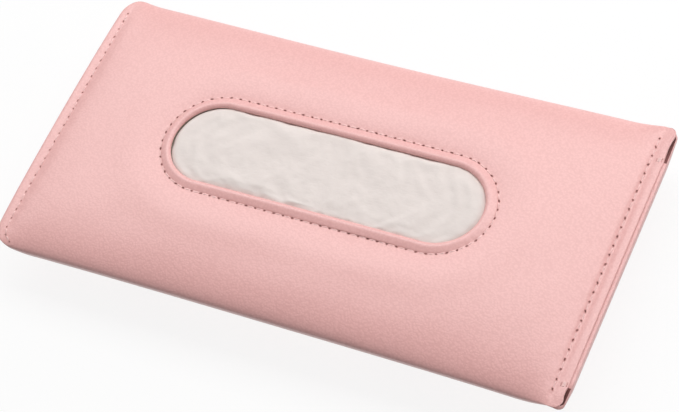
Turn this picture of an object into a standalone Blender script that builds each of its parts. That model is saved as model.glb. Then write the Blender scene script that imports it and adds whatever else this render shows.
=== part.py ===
"""Tissue holder for a car's sun visor, lying on its back with the window up.

A sheet of leatherette is folded round both long edges into a flat pouch. Its front has a long
oval window with a rolled binding, and under the front lie a thin board and a lining. The back is a
stiff panel, sewn along one edge as a hinge and held shut by magnets at the other. Two spring clips
are riveted to that panel. The pouch holds a folded stack of tissues.

Metres. +X runs along the pouch, +Y to the folded edge beside the hinge, +Z up through the window.
The origin is on the surface that the clips rest on, below the middle of the pouch.
"""
import math

import bmesh
import bpy

# Driving sizes of the pouch
pouch_length = 0.231
end_width = 0.1205
side_pull = 0.00175
pouch_thickness = 0.014
leatherette = 0.0012
seam_thickness = 0.0026
hem_thickness = 0.0044
left_row_inset = 0.0045
right_row_inset = 0.0064
hem_setback = 0.0012
hem_slope = 0.0003
left_corner_radius = 0.009
end_taper = 0.013
hollow_inset = 0.0016

# What lies against something else keeps this gap to it
clearance = 0.0003
# How far a cutter reaches past what it cuts
overrun = 0.004

# The front swells from the seams to the middle, and from fold to fold, by these powers
swell_power = 3.0
swell_root = 0.625
crown_power = 4.0
seam_level_share = 0.54
# The turned left edge ends in a flat this much short of a full round
tip_share = 0.85

# Stiffener and lining below the front
front_board_thickness = 0.0008
front_lining_thickness = 0.0004
front_board_inset = 0.013
front_lining_inset = 0.0115

# Window
window_length = 0.1238
window_width = 0.0323
window_shift_x = 0.0002
window_shift_y = 0.0023
binding_reach = 0.0049
binding_leaf = 0.0005
binding_roll = 0.0012
binding_turn_share = 0.33
rim_rise = 0.0016

# Threads
stitch_pitch = 0.004
back_stitch_pitch = 0.006
thread_radius = 0.00028
thread_waist_share = 0.6
window_row_gap = 0.0005
right_row_end_gap = 0.0065
left_row_far_gap = 0.009
left_row_turn = 60.0
tack_length = 0.0024
tack_inset = 0.0019

# Open folds at the right end
far_slit = 0.0146
near_slit = 0.0076
slit_mouth = 0.0018
slit_tip = 0.0004
slit_depth = 0.0049

# Back of the pouch
near_margin = 0.0155
panel_near_inset = 0.0015
panel_end_gap = 0.001
panel_corner_radius = 0.008
hinge_margin_width = 0.010
hinge_margin_inset = 0.0012
opening_end_lap = 0.006
opening_far_lap = 0.0035
opening_corner_radius = 0.008
keeper_radius = 0.0045
keeper_thickness = 0.0006
keeper_chamfer = 0.00015
facing_thickness = 0.0004
facing_setback = 0.0008
facing_corner_radius = 0.002

# Back panel
panel_skin_thickness = 0.001
panel_board_thickness = 0.0014
panel_lining_thickness = 0.0004
panel_board_inset = 0.0008
panel_lining_inset = 0.0006
panel_edge_setback = 0.0003
visor_face_inset = 0.01
panel_row_inset = 0.0024
hinge_row_share = 0.55
hinge_drop = 0.0007
magnet_end_inset = 0.016
magnet_chamfer = 0.0002

# Spring clips and their rivets
clip_end_inset = 0.041
clip_width = 0.024
clip_steel = 0.0008
clip_height = 0.008
clip_hinge_gap = 0.0045
clip_tip_inset = 0.0052
clip_pinch_rise = 0.0035
clip_flare = 0.013
clip_corner_radius = 0.005
clip_plate_setback = 0.006
rivet_shank_radius = 0.0014
rivet_head_radius = 0.0032
rivet_head_height = 0.0009
rivet_dimple_share = 0.25
rivet_flange_radius = 0.0028
rivet_flange_thickness = 0.0004

# Tissues
tissue_thickness = 0.0005
tissue_rise = 0.0023
tissue_window_gap = 0.0012
stack_end_gap = 0.006
stack_side_gap = 0.007
sheet_end_inset = 0.002
sheet_side_inset = 0.0025
belly_gap = 0.0006

# Directions round the front, in degrees from the far fold over the top to the near fold
HALF_TURNS = (0, 8, 18, 30, 44, 58, 70, 80, 86)
FRONT_TURNS = HALF_TURNS + (90,) + tuple(180 - turn for turn in reversed(HALF_TURNS))
FOLD_SHARES = (0.25, 0.5, 0.75, 1.0)
BOARD_TURN = 44
STACK_TURN = 18
TIP_SHARES = (0.0, 0.4, 1.0, 2.0)
HEM_SHARES = (0.25, 0.5, 0.75)
STATION_SHARES = (0.0, 0.16, 0.32, 0.48, 0.62, 0.74, 0.83, 0.9, 0.95, 0.98)

# Binding in section: reach and rise of its roll, then its drop into the window
LIP_SHARES = ((1.0, 0.0), (0.8, 0.42), (0.56, 0.85), (0.33, 1.0), (0.15, 0.72), (0.04, 0.2))
NOSE_SHARES = (0.2, 0.75)
# Top tissue: from the edge of the sheet to the binding, then inward and up inside the window
SKIRT_SHARES = (0.0, 0.25, 0.5, 0.75, 1.0)
TISSUE_SHARES = ((0.04, 0.45), (0.12, 0.9), (0.28, 1.0), (0.42, 1.0))
# Rivets, from the tip of a clip's plate to its bend
RIVET_SHARES = (0.15, 0.46)
# Bar tacks: place along the tack and thickness there
TACK_SHARES = ((-1.0, 1.0), (-0.5, 1.5), (0.5, 1.5), (1.0, 1.0))

ROUND_SIDES = 16
ARC_STEPS = 6
CORNER_STEPS = 4
STRAIGHT_STEPS = 6
THREAD_SIDES = 4

# Levels, from the clips up
panel_skin_bottom = clip_height + clearance
panel_board_bottom = panel_skin_bottom + panel_skin_thickness + clearance
panel_lining_bottom = panel_board_bottom + panel_board_thickness + clearance
back_level = panel_lining_bottom + panel_lining_thickness + clearance
front_level = back_level + pouch_thickness
seam_level = back_level + pouch_thickness * seam_level_share

# Places along the pouch
left_edge = -pouch_length / 2
right_edge = pouch_length / 2
left_seam = left_edge + left_row_inset
right_seam = right_edge - right_row_inset
seam_middle = (left_seam + right_seam) / 2
seam_half = (right_seam - left_seam) / 2
hem_edge = right_edge - hem_setback

# Depths below the front's outer face
board_depth = leatherette + clearance
lining_depth = board_depth + front_board_thickness + clearance
binding_under = lining_depth + front_lining_thickness + clearance
tissue_depth = binding_under + binding_leaf + clearance
stack_depth = tissue_depth + tissue_thickness + clearance

# Places across the back
middle_width = end_width - 2 * side_pull
back_flat = middle_width / 2 - pouch_thickness / 2
panel_near = -(back_flat - panel_near_inset)
panel_half = seam_half - end_taper - panel_end_gap
hinge_far = back_flat - hinge_margin_inset
hinge_near = hinge_far - hinge_margin_width
hinge_line = hinge_near - clearance
hinge_level = back_level - clearance - panel_skin_thickness - hinge_drop
panel_far = hinge_line - clearance
opening_near = -(back_flat - near_margin)
opening_far = hinge_near - opening_far_lap
opening_half = panel_half - opening_end_lap
margin_top = back_level + leatherette
magnet_y = (panel_near + panel_row_inset + opening_near) / 2
magnet_reach = panel_half - magnet_end_inset
clip_reach = panel_half - clip_end_inset
stack_half = panel_half - stack_end_gap
stack_side = middle_width / 2 - stack_side_gap
window_x = seam_middle + window_shift_x
window_y = window_shift_y

FINISHES = {
    "leatherette": ((0.82, 0.50, 0.485), 0.62, 0.0),
    "thread": ((0.84, 0.54, 0.52), 0.75, 0.0),
    "board": ((0.36, 0.33, 0.29), 0.85, 0.0),
    "lining": ((0.62, 0.40, 0.39), 0.9, 0.0),
    "tissue": ((0.86, 0.84, 0.80), 0.95, 0.0),
    "steel": ((0.56, 0.57, 0.58), 0.32, 1.0),
    "magnet": ((0.62, 0.62, 0.63), 0.25, 1.0),
}


def finish(thing, kind):
    """Give an object its own material."""
    colour, roughness, metallic = FINISHES[kind]
    made = bpy.data.materials.new(thing.name + "_" + kind)
    made.use_nodes = True
    shader = made.node_tree.nodes["Principled BSDF"]
    shader.inputs["Base Color"].default_value = (*colour, 1.0)
    shader.inputs["Roughness"].default_value = roughness
    shader.inputs["Metallic"].default_value = metallic
    thing.data.materials.append(made)


def solid(name, work, kind=None, origin=(0.0, 0.0, 0.0)):
    """Turn a bmesh into an object with its origin at the given place; no kind makes a cutter."""
    bmesh.ops.recalc_face_normals(work, faces=work.faces)
    bmesh.ops.translate(work, verts=work.verts, vec=[-value for value in origin])
    mesh = bpy.data.meshes.new(name)
    work.to_mesh(mesh)
    work.free()
    thing = bpy.data.objects.new(name, mesh)
    thing.location = origin
    bpy.context.scene.collection.objects.link(thing)
    if kind:
        mesh.shade_smooth()
        mesh.set_sharp_from_angle(angle=math.radians(35.0))
        finish(thing, kind)
    else:
        thing.hide_render = True
        thing.display_type = "WIRE"
    return thing


def loft(name, rings, kind=None, origin=(0.0, 0.0, 0.0)):
    """Closed solid through rings with the same number of points."""
    work = bmesh.new()
    rows = [[work.verts.new(point) for point in ring] for ring in rings]
    for first, second in zip(rows, rows[1:]):
        for here, there in zip(range(-1, len(first) - 1), range(len(first))):
            work.faces.new((first[here], first[there], second[there], second[here]))
    work.faces.new(rows[0])
    work.faces.new(rows[-1])
    return solid(name, work, kind, origin)


def change(thing, tool, operation="DIFFERENCE"):
    """Cut or join one object with another."""
    modifier = thing.modifiers.new(operation.lower(), "BOOLEAN")
    modifier.operation = operation
    modifier.solver = "EXACT"
    modifier.object = tool


def hem_half(x):
    """Half the thickness of the sewn end at a place along it, from the seam out to its edge."""
    half = seam_thickness / 2
    if x > right_seam:
        share = min((x - right_seam) / (hem_edge - right_seam), 1.0)
        return half + (hem_thickness - seam_thickness) / 2 * math.sin(share * math.pi / 2)
    tip = max(half - (x - left_edge), 0.0) * tip_share
    return math.sqrt(half ** 2 - tip ** 2)


def section(x):
    """Half width, back, widest and front levels of the pouch at a place along it."""
    share = min(abs(x - seam_middle) / seam_half, 1.0)
    swell = (1.0 - share ** swell_power) ** swell_root
    half_width = (end_width + (middle_width - end_width) * swell) / 2
    corner = max(left_corner_radius - (x - left_edge), 0.0)
    half_width -= left_corner_radius - math.sqrt(left_corner_radius ** 2 - corner ** 2)
    rise = min(max(1.0 - (1.0 - share) * seam_half / end_taper, 0.0), 1.0) ** 2
    seam_back = seam_level - seam_thickness / 2
    back = back_level + (seam_back - back_level) * rise
    front = seam_level + seam_thickness / 2
    front += (front_level - front) * swell
    extra = hem_half(x) - seam_thickness / 2
    back -= extra
    front += extra
    return half_width, back, (back + front) / 2, front


def front_point(x, turn, depth):
    """Point a depth below the front's outer face, in a direction round the section."""
    half_width, _, middle, front = section(x)
    across = math.cos(math.radians(turn))
    reach = abs(across) ** (2.0 / crown_power)
    y = math.copysign(reach, across) * (half_width - depth)
    return x, y, middle + (front - middle - depth) * math.sin(math.radians(turn))


def front_height(x, y, depth=0.0):
    """Height of the front's outer face, or of a depth below it, over a place in plan."""
    half_width, _, middle, front = section(x)
    share = min(abs(y) / (half_width - depth), 1.0)
    return middle + (front - middle - depth) * math.sqrt(1.0 - share ** crown_power)


def pouch_ring(x, depth=0.0, ceiling=None):
    """Section of the pouch: over the front, then along the back from the near fold.

    With a ceiling, only the back layer below that level is left, flat on top.
    """
    half_width, back, middle, _ = section(x)
    radius = middle - back
    start = 0.0
    ring = [front_point(x, turn, depth) for turn in FRONT_TURNS]
    if ceiling is not None:
        start = math.asin((middle - ceiling) / radius)
        reach = 1.0 - radius * (1.0 - math.cos(start)) / half_width
        ring = [(px, py * reach, ceiling) for px, py, _ in ring]
    for side, shares in ((-1, FOLD_SHARES), (1, tuple(reversed(FOLD_SHARES)))):
        for share in shares:
            angle = start + (math.pi / 2 - start) * share
            y = half_width - radius + (radius - depth) * math.cos(angle)
            ring.append((x, side * y, middle - (radius - depth) * math.sin(angle)))
    return ring


def stations(low, high):
    """Places along the pouch between two limits, with the limits themselves."""
    places = [seam_middle + side * share * seam_half for share in STATION_SHARES for side in (-1, 1)]
    inside = sorted({place for place in places if low < place < high})
    return [low] + inside + [high]


def front_layer(name, half, turn, depth, thickness, kind):
    """Sheet that follows the front at a depth, with the window cut out."""
    turns = [t for t in FRONT_TURNS if turn <= t <= 180 - turn]
    rings = []
    for x in stations(seam_middle - half, seam_middle + half):
        over = [front_point(x, t, depth) for t in turns]
        under = [front_point(x, t, depth + thickness) for t in reversed(turns)]
        rings.append(over + under)
    layer = loft(name, rings, kind)
    change(layer, window_cutter)
    return layer


def stadium(offset):
    """Points round the window, at an offset out from its inner edge."""
    radius = window_width / 2
    straight = window_length / 2 - radius
    quarter = [math.pi / 2 * step / ARC_STEPS for step in range(ARC_STEPS)]
    run = [1.0 - 2.0 * step / STRAIGHT_STEPS for step in range(STRAIGHT_STEPS)]
    parts = [(straight, angle) for angle in quarter]
    parts += [(straight * share, math.pi / 2) for share in run]
    parts += [(-straight, math.pi / 2 + angle) for angle in quarter]
    parts += [(-straight, math.pi + angle) for angle in quarter]
    parts += [(-straight * share, -math.pi / 2) for share in run]
    parts += [(straight, angle - math.pi / 2) for angle in quarter]
    loop = []
    for centre, angle in parts:
        outward = (math.cos(angle), math.sin(angle))
        x = window_x + centre + (radius + offset) * outward[0]
        loop.append((x, window_y + (radius + offset) * outward[1]))
    return loop


def prism(name, outline, low, high):
    """Cutter: an outline in plan, from one level to another."""
    return loft(name, [[(x, y, z) for x, y in outline] for z in (low, high)])


def rounded_end(distance, radius):
    """How far a rounded corner draws an edge in, at a distance from the end of the piece."""
    short = min(max(radius - distance, 0.0), radius)
    return radius - math.sqrt(radius ** 2 - short ** 2)


def corner_stations(half, radius):
    """Places along a plate with rounded corners, closer together at its ends."""
    places = [half - radius * (1.0 - math.cos(math.pi / 2 * step / CORNER_STEPS))
              for step in range(CORNER_STEPS + 1)]
    return [seam_middle - place for place in places] + [seam_middle + place for place in places[::-1]]


def plate(name, half, near, far, low, high, radius, kind):
    """Flat plate with rounded corners, centred between the seams."""
    rings = []
    for x in corner_stations(half, radius):
        inward = rounded_end(half - abs(x - seam_middle), radius)
        rings.append([(x, near + inward, low), (x, far - inward, low),
                      (x, far - inward, high), (x, near + inward, high)])
    return loft(name, rings, kind)


def turned(name, profile, places, kind=None):
    """Round pieces from a profile of radius and height that starts and ends on the axis."""
    work = bmesh.new()
    for x, y in places:
        rings = []
        for radius, z in profile[1:-1]:
            angles = [2 * math.pi * side / ROUND_SIDES for side in range(ROUND_SIDES)]
            rings.append([work.verts.new((x + radius * math.cos(a), y + radius * math.sin(a), z))
                          for a in angles])
        for first, second in zip(rings, rings[1:]):
            for here, there in zip(range(-1, ROUND_SIDES - 1), range(ROUND_SIDES)):
                work.faces.new((first[here], first[there], second[there], second[here]))
        work.faces.new(rings[0])
        work.faces.new(rings[-1])
    return solid(name, work, kind)


def disc_profile(radius, low, high, chamfer):
    """Profile of a disc with broken edges."""
    return [(0.0, low), (radius - chamfer, low), (radius, low + chamfer),
            (radius, high - chamfer), (radius - chamfer, high), (0.0, high)]


def walk(points, pitch, closed):
    """Evenly spaced places along a path, two to a stitch."""
    ends = points + points[:1] if closed else points
    lengths = [math.dist(a, b) for a, b in zip(ends, ends[1:])]
    count = 2 * max(round(sum(lengths) / pitch), 1)
    step = sum(lengths) / count
    places = []
    for index in range(count if closed else count + 1):
        left = index * step
        for a, b, length in zip(ends, ends[1:], lengths):
            if left <= length or (a, b) == (ends[-2], ends[-1]):
                share = min(left / length, 1.0)
                places.append([p + (q - p) * share for p, q in zip(a, b)])
                break
            left -= length
    return places


def thread_row(name, plan, height, side, pitch, closed=False):
    """Row of stitches along a path in plan, on the upper (1) or lower (-1) face of a surface."""
    places = walk(plan, pitch, closed)
    count = len(places)
    work = bmesh.new()
    rings = []
    for index, (x, y) in enumerate(places):
        before = places[index - 1] if closed or index else places[index]
        after = places[(index + 1) % count] if closed or index < count - 1 else places[index]
        along = (after[0] - before[0], after[1] - before[1])
        length = math.hypot(*along)
        across = (-along[1] / length, along[0] / length)
        radius = thread_radius if index % 2 else thread_radius * thread_waist_share
        z = height(x, y) + side * (clearance + thread_radius)
        ring = []
        for corner in range(THREAD_SIDES):
            angle = math.pi / THREAD_SIDES * (2 * corner + 1)
            out = radius * math.cos(angle)
            ring.append(work.verts.new((x + out * across[0], y + out * across[1],
                                        z + radius * math.sin(angle))))
        rings.append(ring)
    pairs = list(zip(rings, rings[1:]))
    if closed:
        pairs.append((rings[-1], rings[0]))
    else:
        work.faces.new(rings[0])
        work.faces.new(rings[-1])
    for first, second in pairs:
        for here, there in zip(range(-1, THREAD_SIDES - 1), range(THREAD_SIDES)):
            work.faces.new((first[here], first[there], second[there], second[here]))
    return solid(name, work, "thread")


def make_cover():
    """The folded sheet: pouch, hollow, window, back opening and the two open folds."""
    tip = seam_thickness / 2
    left_places = [left_edge + tip * share for share in TIP_SHARES]
    right_places = [right_seam + (hem_edge - right_seam) * share for share in HEM_SHARES]
    places = left_places + stations(left_seam, right_seam) + right_places
    rings = [pouch_ring(x) for x in places + [hem_edge - hem_slope]]
    _, back, _, _ = section(hem_edge)
    rings += [pouch_ring(x, 0.0, back + leatherette) for x in (hem_edge, right_edge)]
    cover = loft("cover", rings, "leatherette")
    hollow_low = left_seam + hollow_inset
    hollow_high = right_seam - hollow_inset
    hollow = loft("cover_hollow_cutter", [pouch_ring(x, leatherette)
                                          for x in stations(hollow_low, hollow_high)])
    opening = plate("back_opening_cutter", opening_half, opening_near, opening_far,
                    back_level - overrun, margin_top + overrun, opening_corner_radius, None)
    for tool in (hollow, window_cutter, opening):
        change(cover, tool)
    for name, side, length in (("far_slit_cutter", 1, far_slit), ("near_slit_cutter", -1, near_slit)):
        change(cover, slit(name, side, length))
    return cover


def slit(name, side, length):
    """Wedge between front and back layers where a fold stands open at the right end."""
    outer = end_width / 2 - leatherette
    low_x = right_edge - slit_depth
    profile = [(outer - slit_mouth / 2, slit_mouth / 2), (outer, slit_tip / 2),
               (outer, -slit_tip / 2), (outer - slit_mouth / 2, -slit_mouth / 2),
               (outer - length, -slit_tip / 2), (outer - length, slit_tip / 2)]
    rings = [[(x, side * y, seam_level + z) for y, z in profile]
             for x in (low_x, right_edge + overrun)]
    return loft(name, rings)


def make_binding():
    """Rolled strip round the window: over the front, through the window and under the lining."""
    foot = clearance + binding_leaf
    over = [(binding_reach * reach, foot + (rim_rise - foot) * rise) for reach, rise in LIP_SHARES]
    nose = [(0.0, -binding_under * share) for share in NOSE_SHARES]
    under = -(binding_under + binding_leaf)
    profile = [(binding_reach, clearance)] + over + nose
    profile += [(binding_roll * binding_turn_share, under + binding_leaf * binding_turn_share)]
    profile.append((binding_roll, under))
    profile += [(binding_reach, under), (binding_reach, -binding_under)]
    profile += [(binding_roll, -binding_under), (binding_roll, clearance)]
    loops = [stadium(reach) for reach, _ in profile]
    work = bmesh.new()
    rings = []
    for index in range(len(loops[0])):
        ring = []
        for loop, (_, level) in zip(loops, profile):
            x, y = loop[index]
            depth = max(-level, 0.0)
            ring.append(work.verts.new((x, y, front_height(x, y, depth) + max(level, 0.0))))
        rings.append(ring)
    for first, second in zip(rings, rings[1:] + rings[:1]):
        for here, there in zip(range(-1, len(profile) - 1), range(len(profile))):
            work.faces.new((first[here], first[there], second[there], second[here]))
    return solid("window_binding", work, "leatherette")


def make_top_tissue():
    """Loose top sheet: flat under the lining, swelling up inside the window."""
    count = len(stadium(0.0))
    inner = -tissue_window_gap
    levels = [(inner - window_width * share, height) for share, height in TISSUE_SHARES]
    rings = []
    half_x = stack_half - sheet_end_inset
    half_y = stack_side - sheet_side_inset
    for x, y in stadium(binding_reach):
        across = (x - window_x) / (window_length / 2 + binding_reach)
        along = (y - window_y) / (window_width / 2 + binding_reach)
        longest = max(abs(across), abs(along))
        rings.append((seam_middle + half_x * across / longest, half_y * along / longest, 0.0))
    edge = stadium(binding_reach)
    loops = []
    for share in SKIRT_SHARES:
        loops.append([(far + (x - far) * share, out + (y - out) * share, 0.0)
                      for (far, out, _), (x, y) in zip(rings, edge)])
    loops.append([(x, y, 0.0) for x, y in stadium(inner)])
    loops += [[(x, y, height) for x, y in stadium(offset)] for offset, height in levels]
    work = bmesh.new()
    faces = []
    for depth in (tissue_depth, tissue_depth + tissue_thickness):
        rows = []
        for loop in loops:
            rows.append([work.verts.new((x, y, front_height(x, y, depth) + tissue_rise * height))
                         for x, y, height in loop])
        faces.append(rows)
        for first, second in zip(rows, rows[1:]):
            for here, there in zip(range(-1, count - 1), range(count)):
                work.faces.new((first[here], first[there], second[there], second[here]))
        last = rows[-1]
        work.faces.new((last[0], last[1], last[-1]))
        half = count // 2
        for index in range(1, half - 1):
            work.faces.new((last[index], last[index + 1], last[-index - 1], last[-index]))
        work.faces.new((last[half - 1], last[half], last[half + 1]))
    top, bottom = faces[0][0], faces[1][0]
    for here, there in zip(range(-1, count - 1), range(count)):
        work.faces.new((top[here], top[there], bottom[there], bottom[here]))
    return solid("top_tissue", work, "tissue")


def make_stack():
    """Folded pile: it rests on the strips inside the margins and sags into the back opening."""
    bottom = margin_top + clearance + keeper_thickness + clearance + facing_thickness + clearance
    turns = [t for t in FRONT_TURNS if STACK_TURN <= t <= 180 - STACK_TURN]
    rings = []
    for x in stations(seam_middle - stack_half, seam_middle + stack_half):
        over = []
        for turn in turns:
            _, y, _ = front_point(x, turn, stack_depth)
            y = max(-stack_side, min(stack_side, y))
            over.append((x, y, front_height(x, y, stack_depth)))
        rings.append(over + [(x, over[-1][1], bottom), (x, over[0][1], bottom)])
    stack = loft("tissue_stack", rings, "tissue")
    half = min(opening_half, stack_half) - belly_gap
    belly = plate("tissue_belly_cutter", half, opening_near + belly_gap, opening_far - belly_gap,
                  back_level, bottom + clearance, opening_corner_radius, None)
    change(stack, belly, "UNION")
    return stack


def make_back_margins():
    """Keeper discs and strips inside the back margins, and the sewn edge of the panel."""
    inside = back_flat - clearance
    keeper_low = margin_top + clearance
    keeper_high = keeper_low + keeper_thickness
    for name, side in (("left_keeper", -1), ("right_keeper", 1)):
        place = (seam_middle + side * magnet_reach, magnet_y)
        turned(name, disc_profile(keeper_radius, keeper_low, keeper_high, keeper_chamfer),
               [place], "steel")
    facing_low = keeper_high + clearance
    plate("near_facing", opening_half, -inside, opening_near - facing_setback,
          facing_low, facing_low + facing_thickness, facing_corner_radius, "lining")
    plate("far_facing", opening_half, opening_far + facing_setback, inside,
          keeper_low, keeper_low + facing_thickness, facing_corner_radius, "lining")
    low = back_level - clearance - panel_skin_thickness
    plate("hinge_margin", panel_half, hinge_near, hinge_far, low, back_level - clearance,
          facing_corner_radius, "leatherette")
    row = hinge_near + (hinge_far - hinge_near) * hinge_row_share
    ends = panel_half - panel_row_inset
    thread_row("hinge_thread", [(seam_middle - ends, row), (seam_middle + ends, row)],
               lambda x, y: low, -1, back_stitch_pitch)


def make_panel():
    """Back panel: leatherette with its far edge turned up at the crease, board, lining, magnets."""
    rings = []
    top = back_level - clearance - panel_edge_setback
    low, high = panel_skin_bottom, panel_skin_bottom + panel_skin_thickness
    places = corner_stations(panel_half, panel_corner_radius)
    between_clips = clip_reach - clip_width / 2 - clearance
    for x in sorted(places + [seam_middle - between_clips, seam_middle + between_clips]):
        near = panel_near + rounded_end(panel_half - abs(x - seam_middle), panel_corner_radius)
        turn_in = panel_far - panel_skin_thickness
        rings.append([(x, near, low), (x, panel_near + visor_face_inset, low),
                      (x, panel_far - visor_face_inset, low), (x, panel_far, low),
                      (x, panel_far, top), (x, turn_in, top), (x, turn_in, high), (x, near, high)])
    skin = loft("panel_skin", rings, "leatherette")
    board_far = panel_far - panel_skin_thickness - clearance
    board_low = panel_board_bottom
    board_high = board_low + panel_board_thickness
    board = plate("panel_board", panel_half - panel_board_inset, panel_near + panel_board_inset,
                  board_far, board_low, board_high, panel_corner_radius - panel_board_inset, "board")
    lining = plate("panel_lining", panel_half - panel_lining_inset, panel_near + panel_lining_inset,
                   board_far, panel_lining_bottom, panel_lining_bottom + panel_lining_thickness,
                   panel_corner_radius - panel_lining_inset, "lining")
    magnets = []
    pockets = []
    for name, side in (("left_magnet", -1), ("right_magnet", 1)):
        place = (seam_middle + side * magnet_reach, magnet_y)
        pockets.append(place)
        magnets.append(turned(name, disc_profile(keeper_radius, board_low, board_high, magnet_chamfer),
                              [place], "magnet"))
    pocket_radius = keeper_radius + clearance
    change(board, turned("magnet_cutter", disc_profile(pocket_radius, board_low - overrun,
                                                       board_high + overrun, magnet_chamfer), pockets))
    half = panel_half - panel_row_inset
    near = panel_near + panel_row_inset
    radius = panel_corner_radius - panel_row_inset
    arc = [math.pi / 2 * step / ARC_STEPS for step in range(ARC_STEPS + 1)]
    path = [(seam_middle - half, panel_far - panel_row_inset)]
    path += [(seam_middle - half + radius - radius * math.cos(a), near + radius - radius * math.sin(a))
             for a in arc]
    path += [(seam_middle + half - radius + radius * math.sin(a), near + radius - radius * math.cos(a))
             for a in arc]
    path.append((seam_middle + half, panel_far - panel_row_inset))
    row = thread_row("panel_thread", path, lambda x, y: panel_skin_bottom, -1, back_stitch_pitch)
    return skin, board, [skin, board, lining, row] + magnets


def strip(name, line, x, origin):
    """Strip of sheet steel along a line of points (y, z), with the corners of its last end rounded."""
    rings = []
    total = sum(math.dist(a, b) for a, b in zip(line, line[1:]))
    travelled = 0.0
    for index, point in enumerate(line):
        before = line[max(index - 1, 0)]
        after = line[min(index + 1, len(line) - 1)]
        if index:
            travelled += math.dist(before, point)
        length = math.dist(before, after)
        out = (-(after[1] - before[1]) / length, (after[0] - before[0]) / length)
        half = clip_width / 2 - rounded_end(total - travelled, clip_corner_radius)
        upper = [point[0] + out[0] * clip_steel / 2, point[1] + out[1] * clip_steel / 2]
        lower = [point[0] - out[0] * clip_steel / 2, point[1] - out[1] * clip_steel / 2]
        rings.append([(x - half, *upper), (x + half, *upper), (x + half, *lower), (x - half, *lower)])
    return loft(name, rings, "steel", origin)


def tip_points(start, end):
    """Points from a start to a rounded tip, close together where the corners are rounded."""
    length = math.dist(start, end)
    lefts = [length] + [clip_corner_radius * (1.0 - math.cos(math.pi / 2 * step / CORNER_STEPS))
                        for step in range(CORNER_STEPS, -1, -1)]
    return [tuple(q + (p - q) * left / length for p, q in zip(start, end)) for left in lefts]


def make_clips(skin, board):
    """Spring clips: a fixed half riveted to the panel and a free leg that bends down from it."""
    outer = clip_height / 2
    radius = outer - clip_steel / 2
    bend_y = panel_far - clip_hinge_gap - outer
    apex = bend_y + outer
    half_gap = clearance / 2 / radius
    tip_y = panel_near + clip_tip_inset
    angles = [half_gap + (math.pi / 2 - half_gap) * step / ARC_STEPS for step in range(ARC_STEPS + 1)]
    plate_line = [(bend_y + radius * math.cos(a), outer + radius * math.sin(a)) for a in angles]
    plate_end = (tip_y + clip_plate_setback, outer + radius)
    plate_line += tip_points(plate_line[-1], plate_end)[1:]
    leg_line = [(bend_y + radius * math.cos(a), outer - radius * math.sin(a)) for a in angles]
    pinch = (tip_y + clip_flare, clip_steel / 2 + clip_pinch_rise)
    leg_line.append(pinch)
    leg_line += tip_points(pinch, (tip_y, clip_steel / 2))[1:]
    rivet_ys = [plate_end[0] + (bend_y - plate_end[0]) * share for share in RIVET_SHARES]
    made = []
    for hand, side in (("left", -1), ("right", 1)):
        x = seam_middle + side * clip_reach
        fixed = strip(hand + "_clip", plate_line, x, (x, 0.0, 0.0))
        leg = strip(hand + "_clip_leg", leg_line, x, (x, apex, outer))
        made += [fixed, leg] + make_rivets(hand, [(x, y) for y in rivet_ys], (fixed, skin, board))
    return made


def make_rivets(hand, places, held):
    """Tubular rivets: domed head in the clip, shank through the panel, flange set in the board."""
    head_top = clip_height - clip_steel - clearance
    head_low = head_top - rivet_head_height
    flange_high = panel_board_bottom + panel_board_thickness
    flange_low = flange_high - rivet_flange_thickness
    dome = [(rivet_head_radius * math.sin(math.pi / 6 * step),
             head_top - rivet_head_height * math.cos(math.pi / 6 * step)) for step in range(4)]
    dome[0] = (rivet_head_radius * rivet_dimple_share, head_low)
    profile = [(0.0, head_low)] + dome[:-1]
    profile.append((rivet_head_radius, head_top - rivet_head_height * rivet_dimple_share))
    profile.append((rivet_head_radius, head_top))
    profile += [(rivet_shank_radius, head_top), (rivet_shank_radius, flange_low)]
    profile += [(rivet_flange_radius, flange_low), (rivet_flange_radius, flange_high)]
    profile.append((0.0, flange_high))
    rivets = [turned(hand + "_" + end + "_rivet", profile, [place], "steel")
              for end, place in zip(("near", "far"), places)]
    hole = rivet_shank_radius + clearance
    seat = rivet_flange_radius + clearance
    shoulder = flange_low - clearance
    bore = [(0.0, head_low), (hole, head_low), (hole, shoulder), (seat, shoulder),
            (seat, flange_high + overrun), (0.0, flange_high + overrun)]
    cutter = turned(hand + "_rivet_cutter", bore, places)
    for thing in held:
        change(thing, cutter)
    return rivets


def hang(things):
    """Hang pieces on the crease that the back panel turns about."""
    hinge = bpy.data.objects.new("back_panel_hinge", None)
    hinge.location = (seam_middle, hinge_line, hinge_level)
    bpy.context.scene.collection.objects.link(hinge)
    for thing in things:
        thing.parent = hinge
        thing.location = [place - at for place, at in zip(thing.location, hinge.location)]


def make_threads():
    """Stitch rows of the front: round the window and along both sewn ends."""
    thread_row("window_thread", stadium(binding_reach + window_row_gap), front_height, 1,
               stitch_pitch, closed=True)
    far = end_width / 2 - left_row_far_gap
    radius = left_corner_radius - left_row_inset / 2
    turn_y = -(end_width / 2 - left_corner_radius)
    arc = [math.radians(left_row_turn) * step / ARC_STEPS for step in range(ARC_STEPS + 1)]
    path = [(left_seam, far)]
    path += [(left_seam + radius - radius * math.cos(a), turn_y - radius * math.sin(a)) for a in arc]
    thread_row("left_end_thread", path, front_height, 1, stitch_pitch)
    reach = end_width / 2 - right_row_end_gap
    thread_row("right_end_thread", [(right_seam, reach), (right_seam, -reach)], front_height, 1,
               stitch_pitch)


def make_tacks():
    """Bar tacks at the inner ends of the open folds, across the hem."""
    outer = end_width / 2 - leatherette
    x = hem_edge - tack_inset
    for name, y in (("far_tack", outer - far_slit), ("near_tack", near_slit - outer)):
        rings = []
        for share, thick in TACK_SHARES:
            size = thread_radius * thick
            level = front_height(x, y) + clearance + size
            rings.append([(x + tack_length / 2 * share, y + out * size, level + up * size)
                          for out, up in ((1, -1), (1, 1), (-1, 1), (-1, -1))])
        loft(name, rings, "thread")


for old in list(bpy.data.objects):
    bpy.data.objects.remove(old, do_unlink=True)

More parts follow.
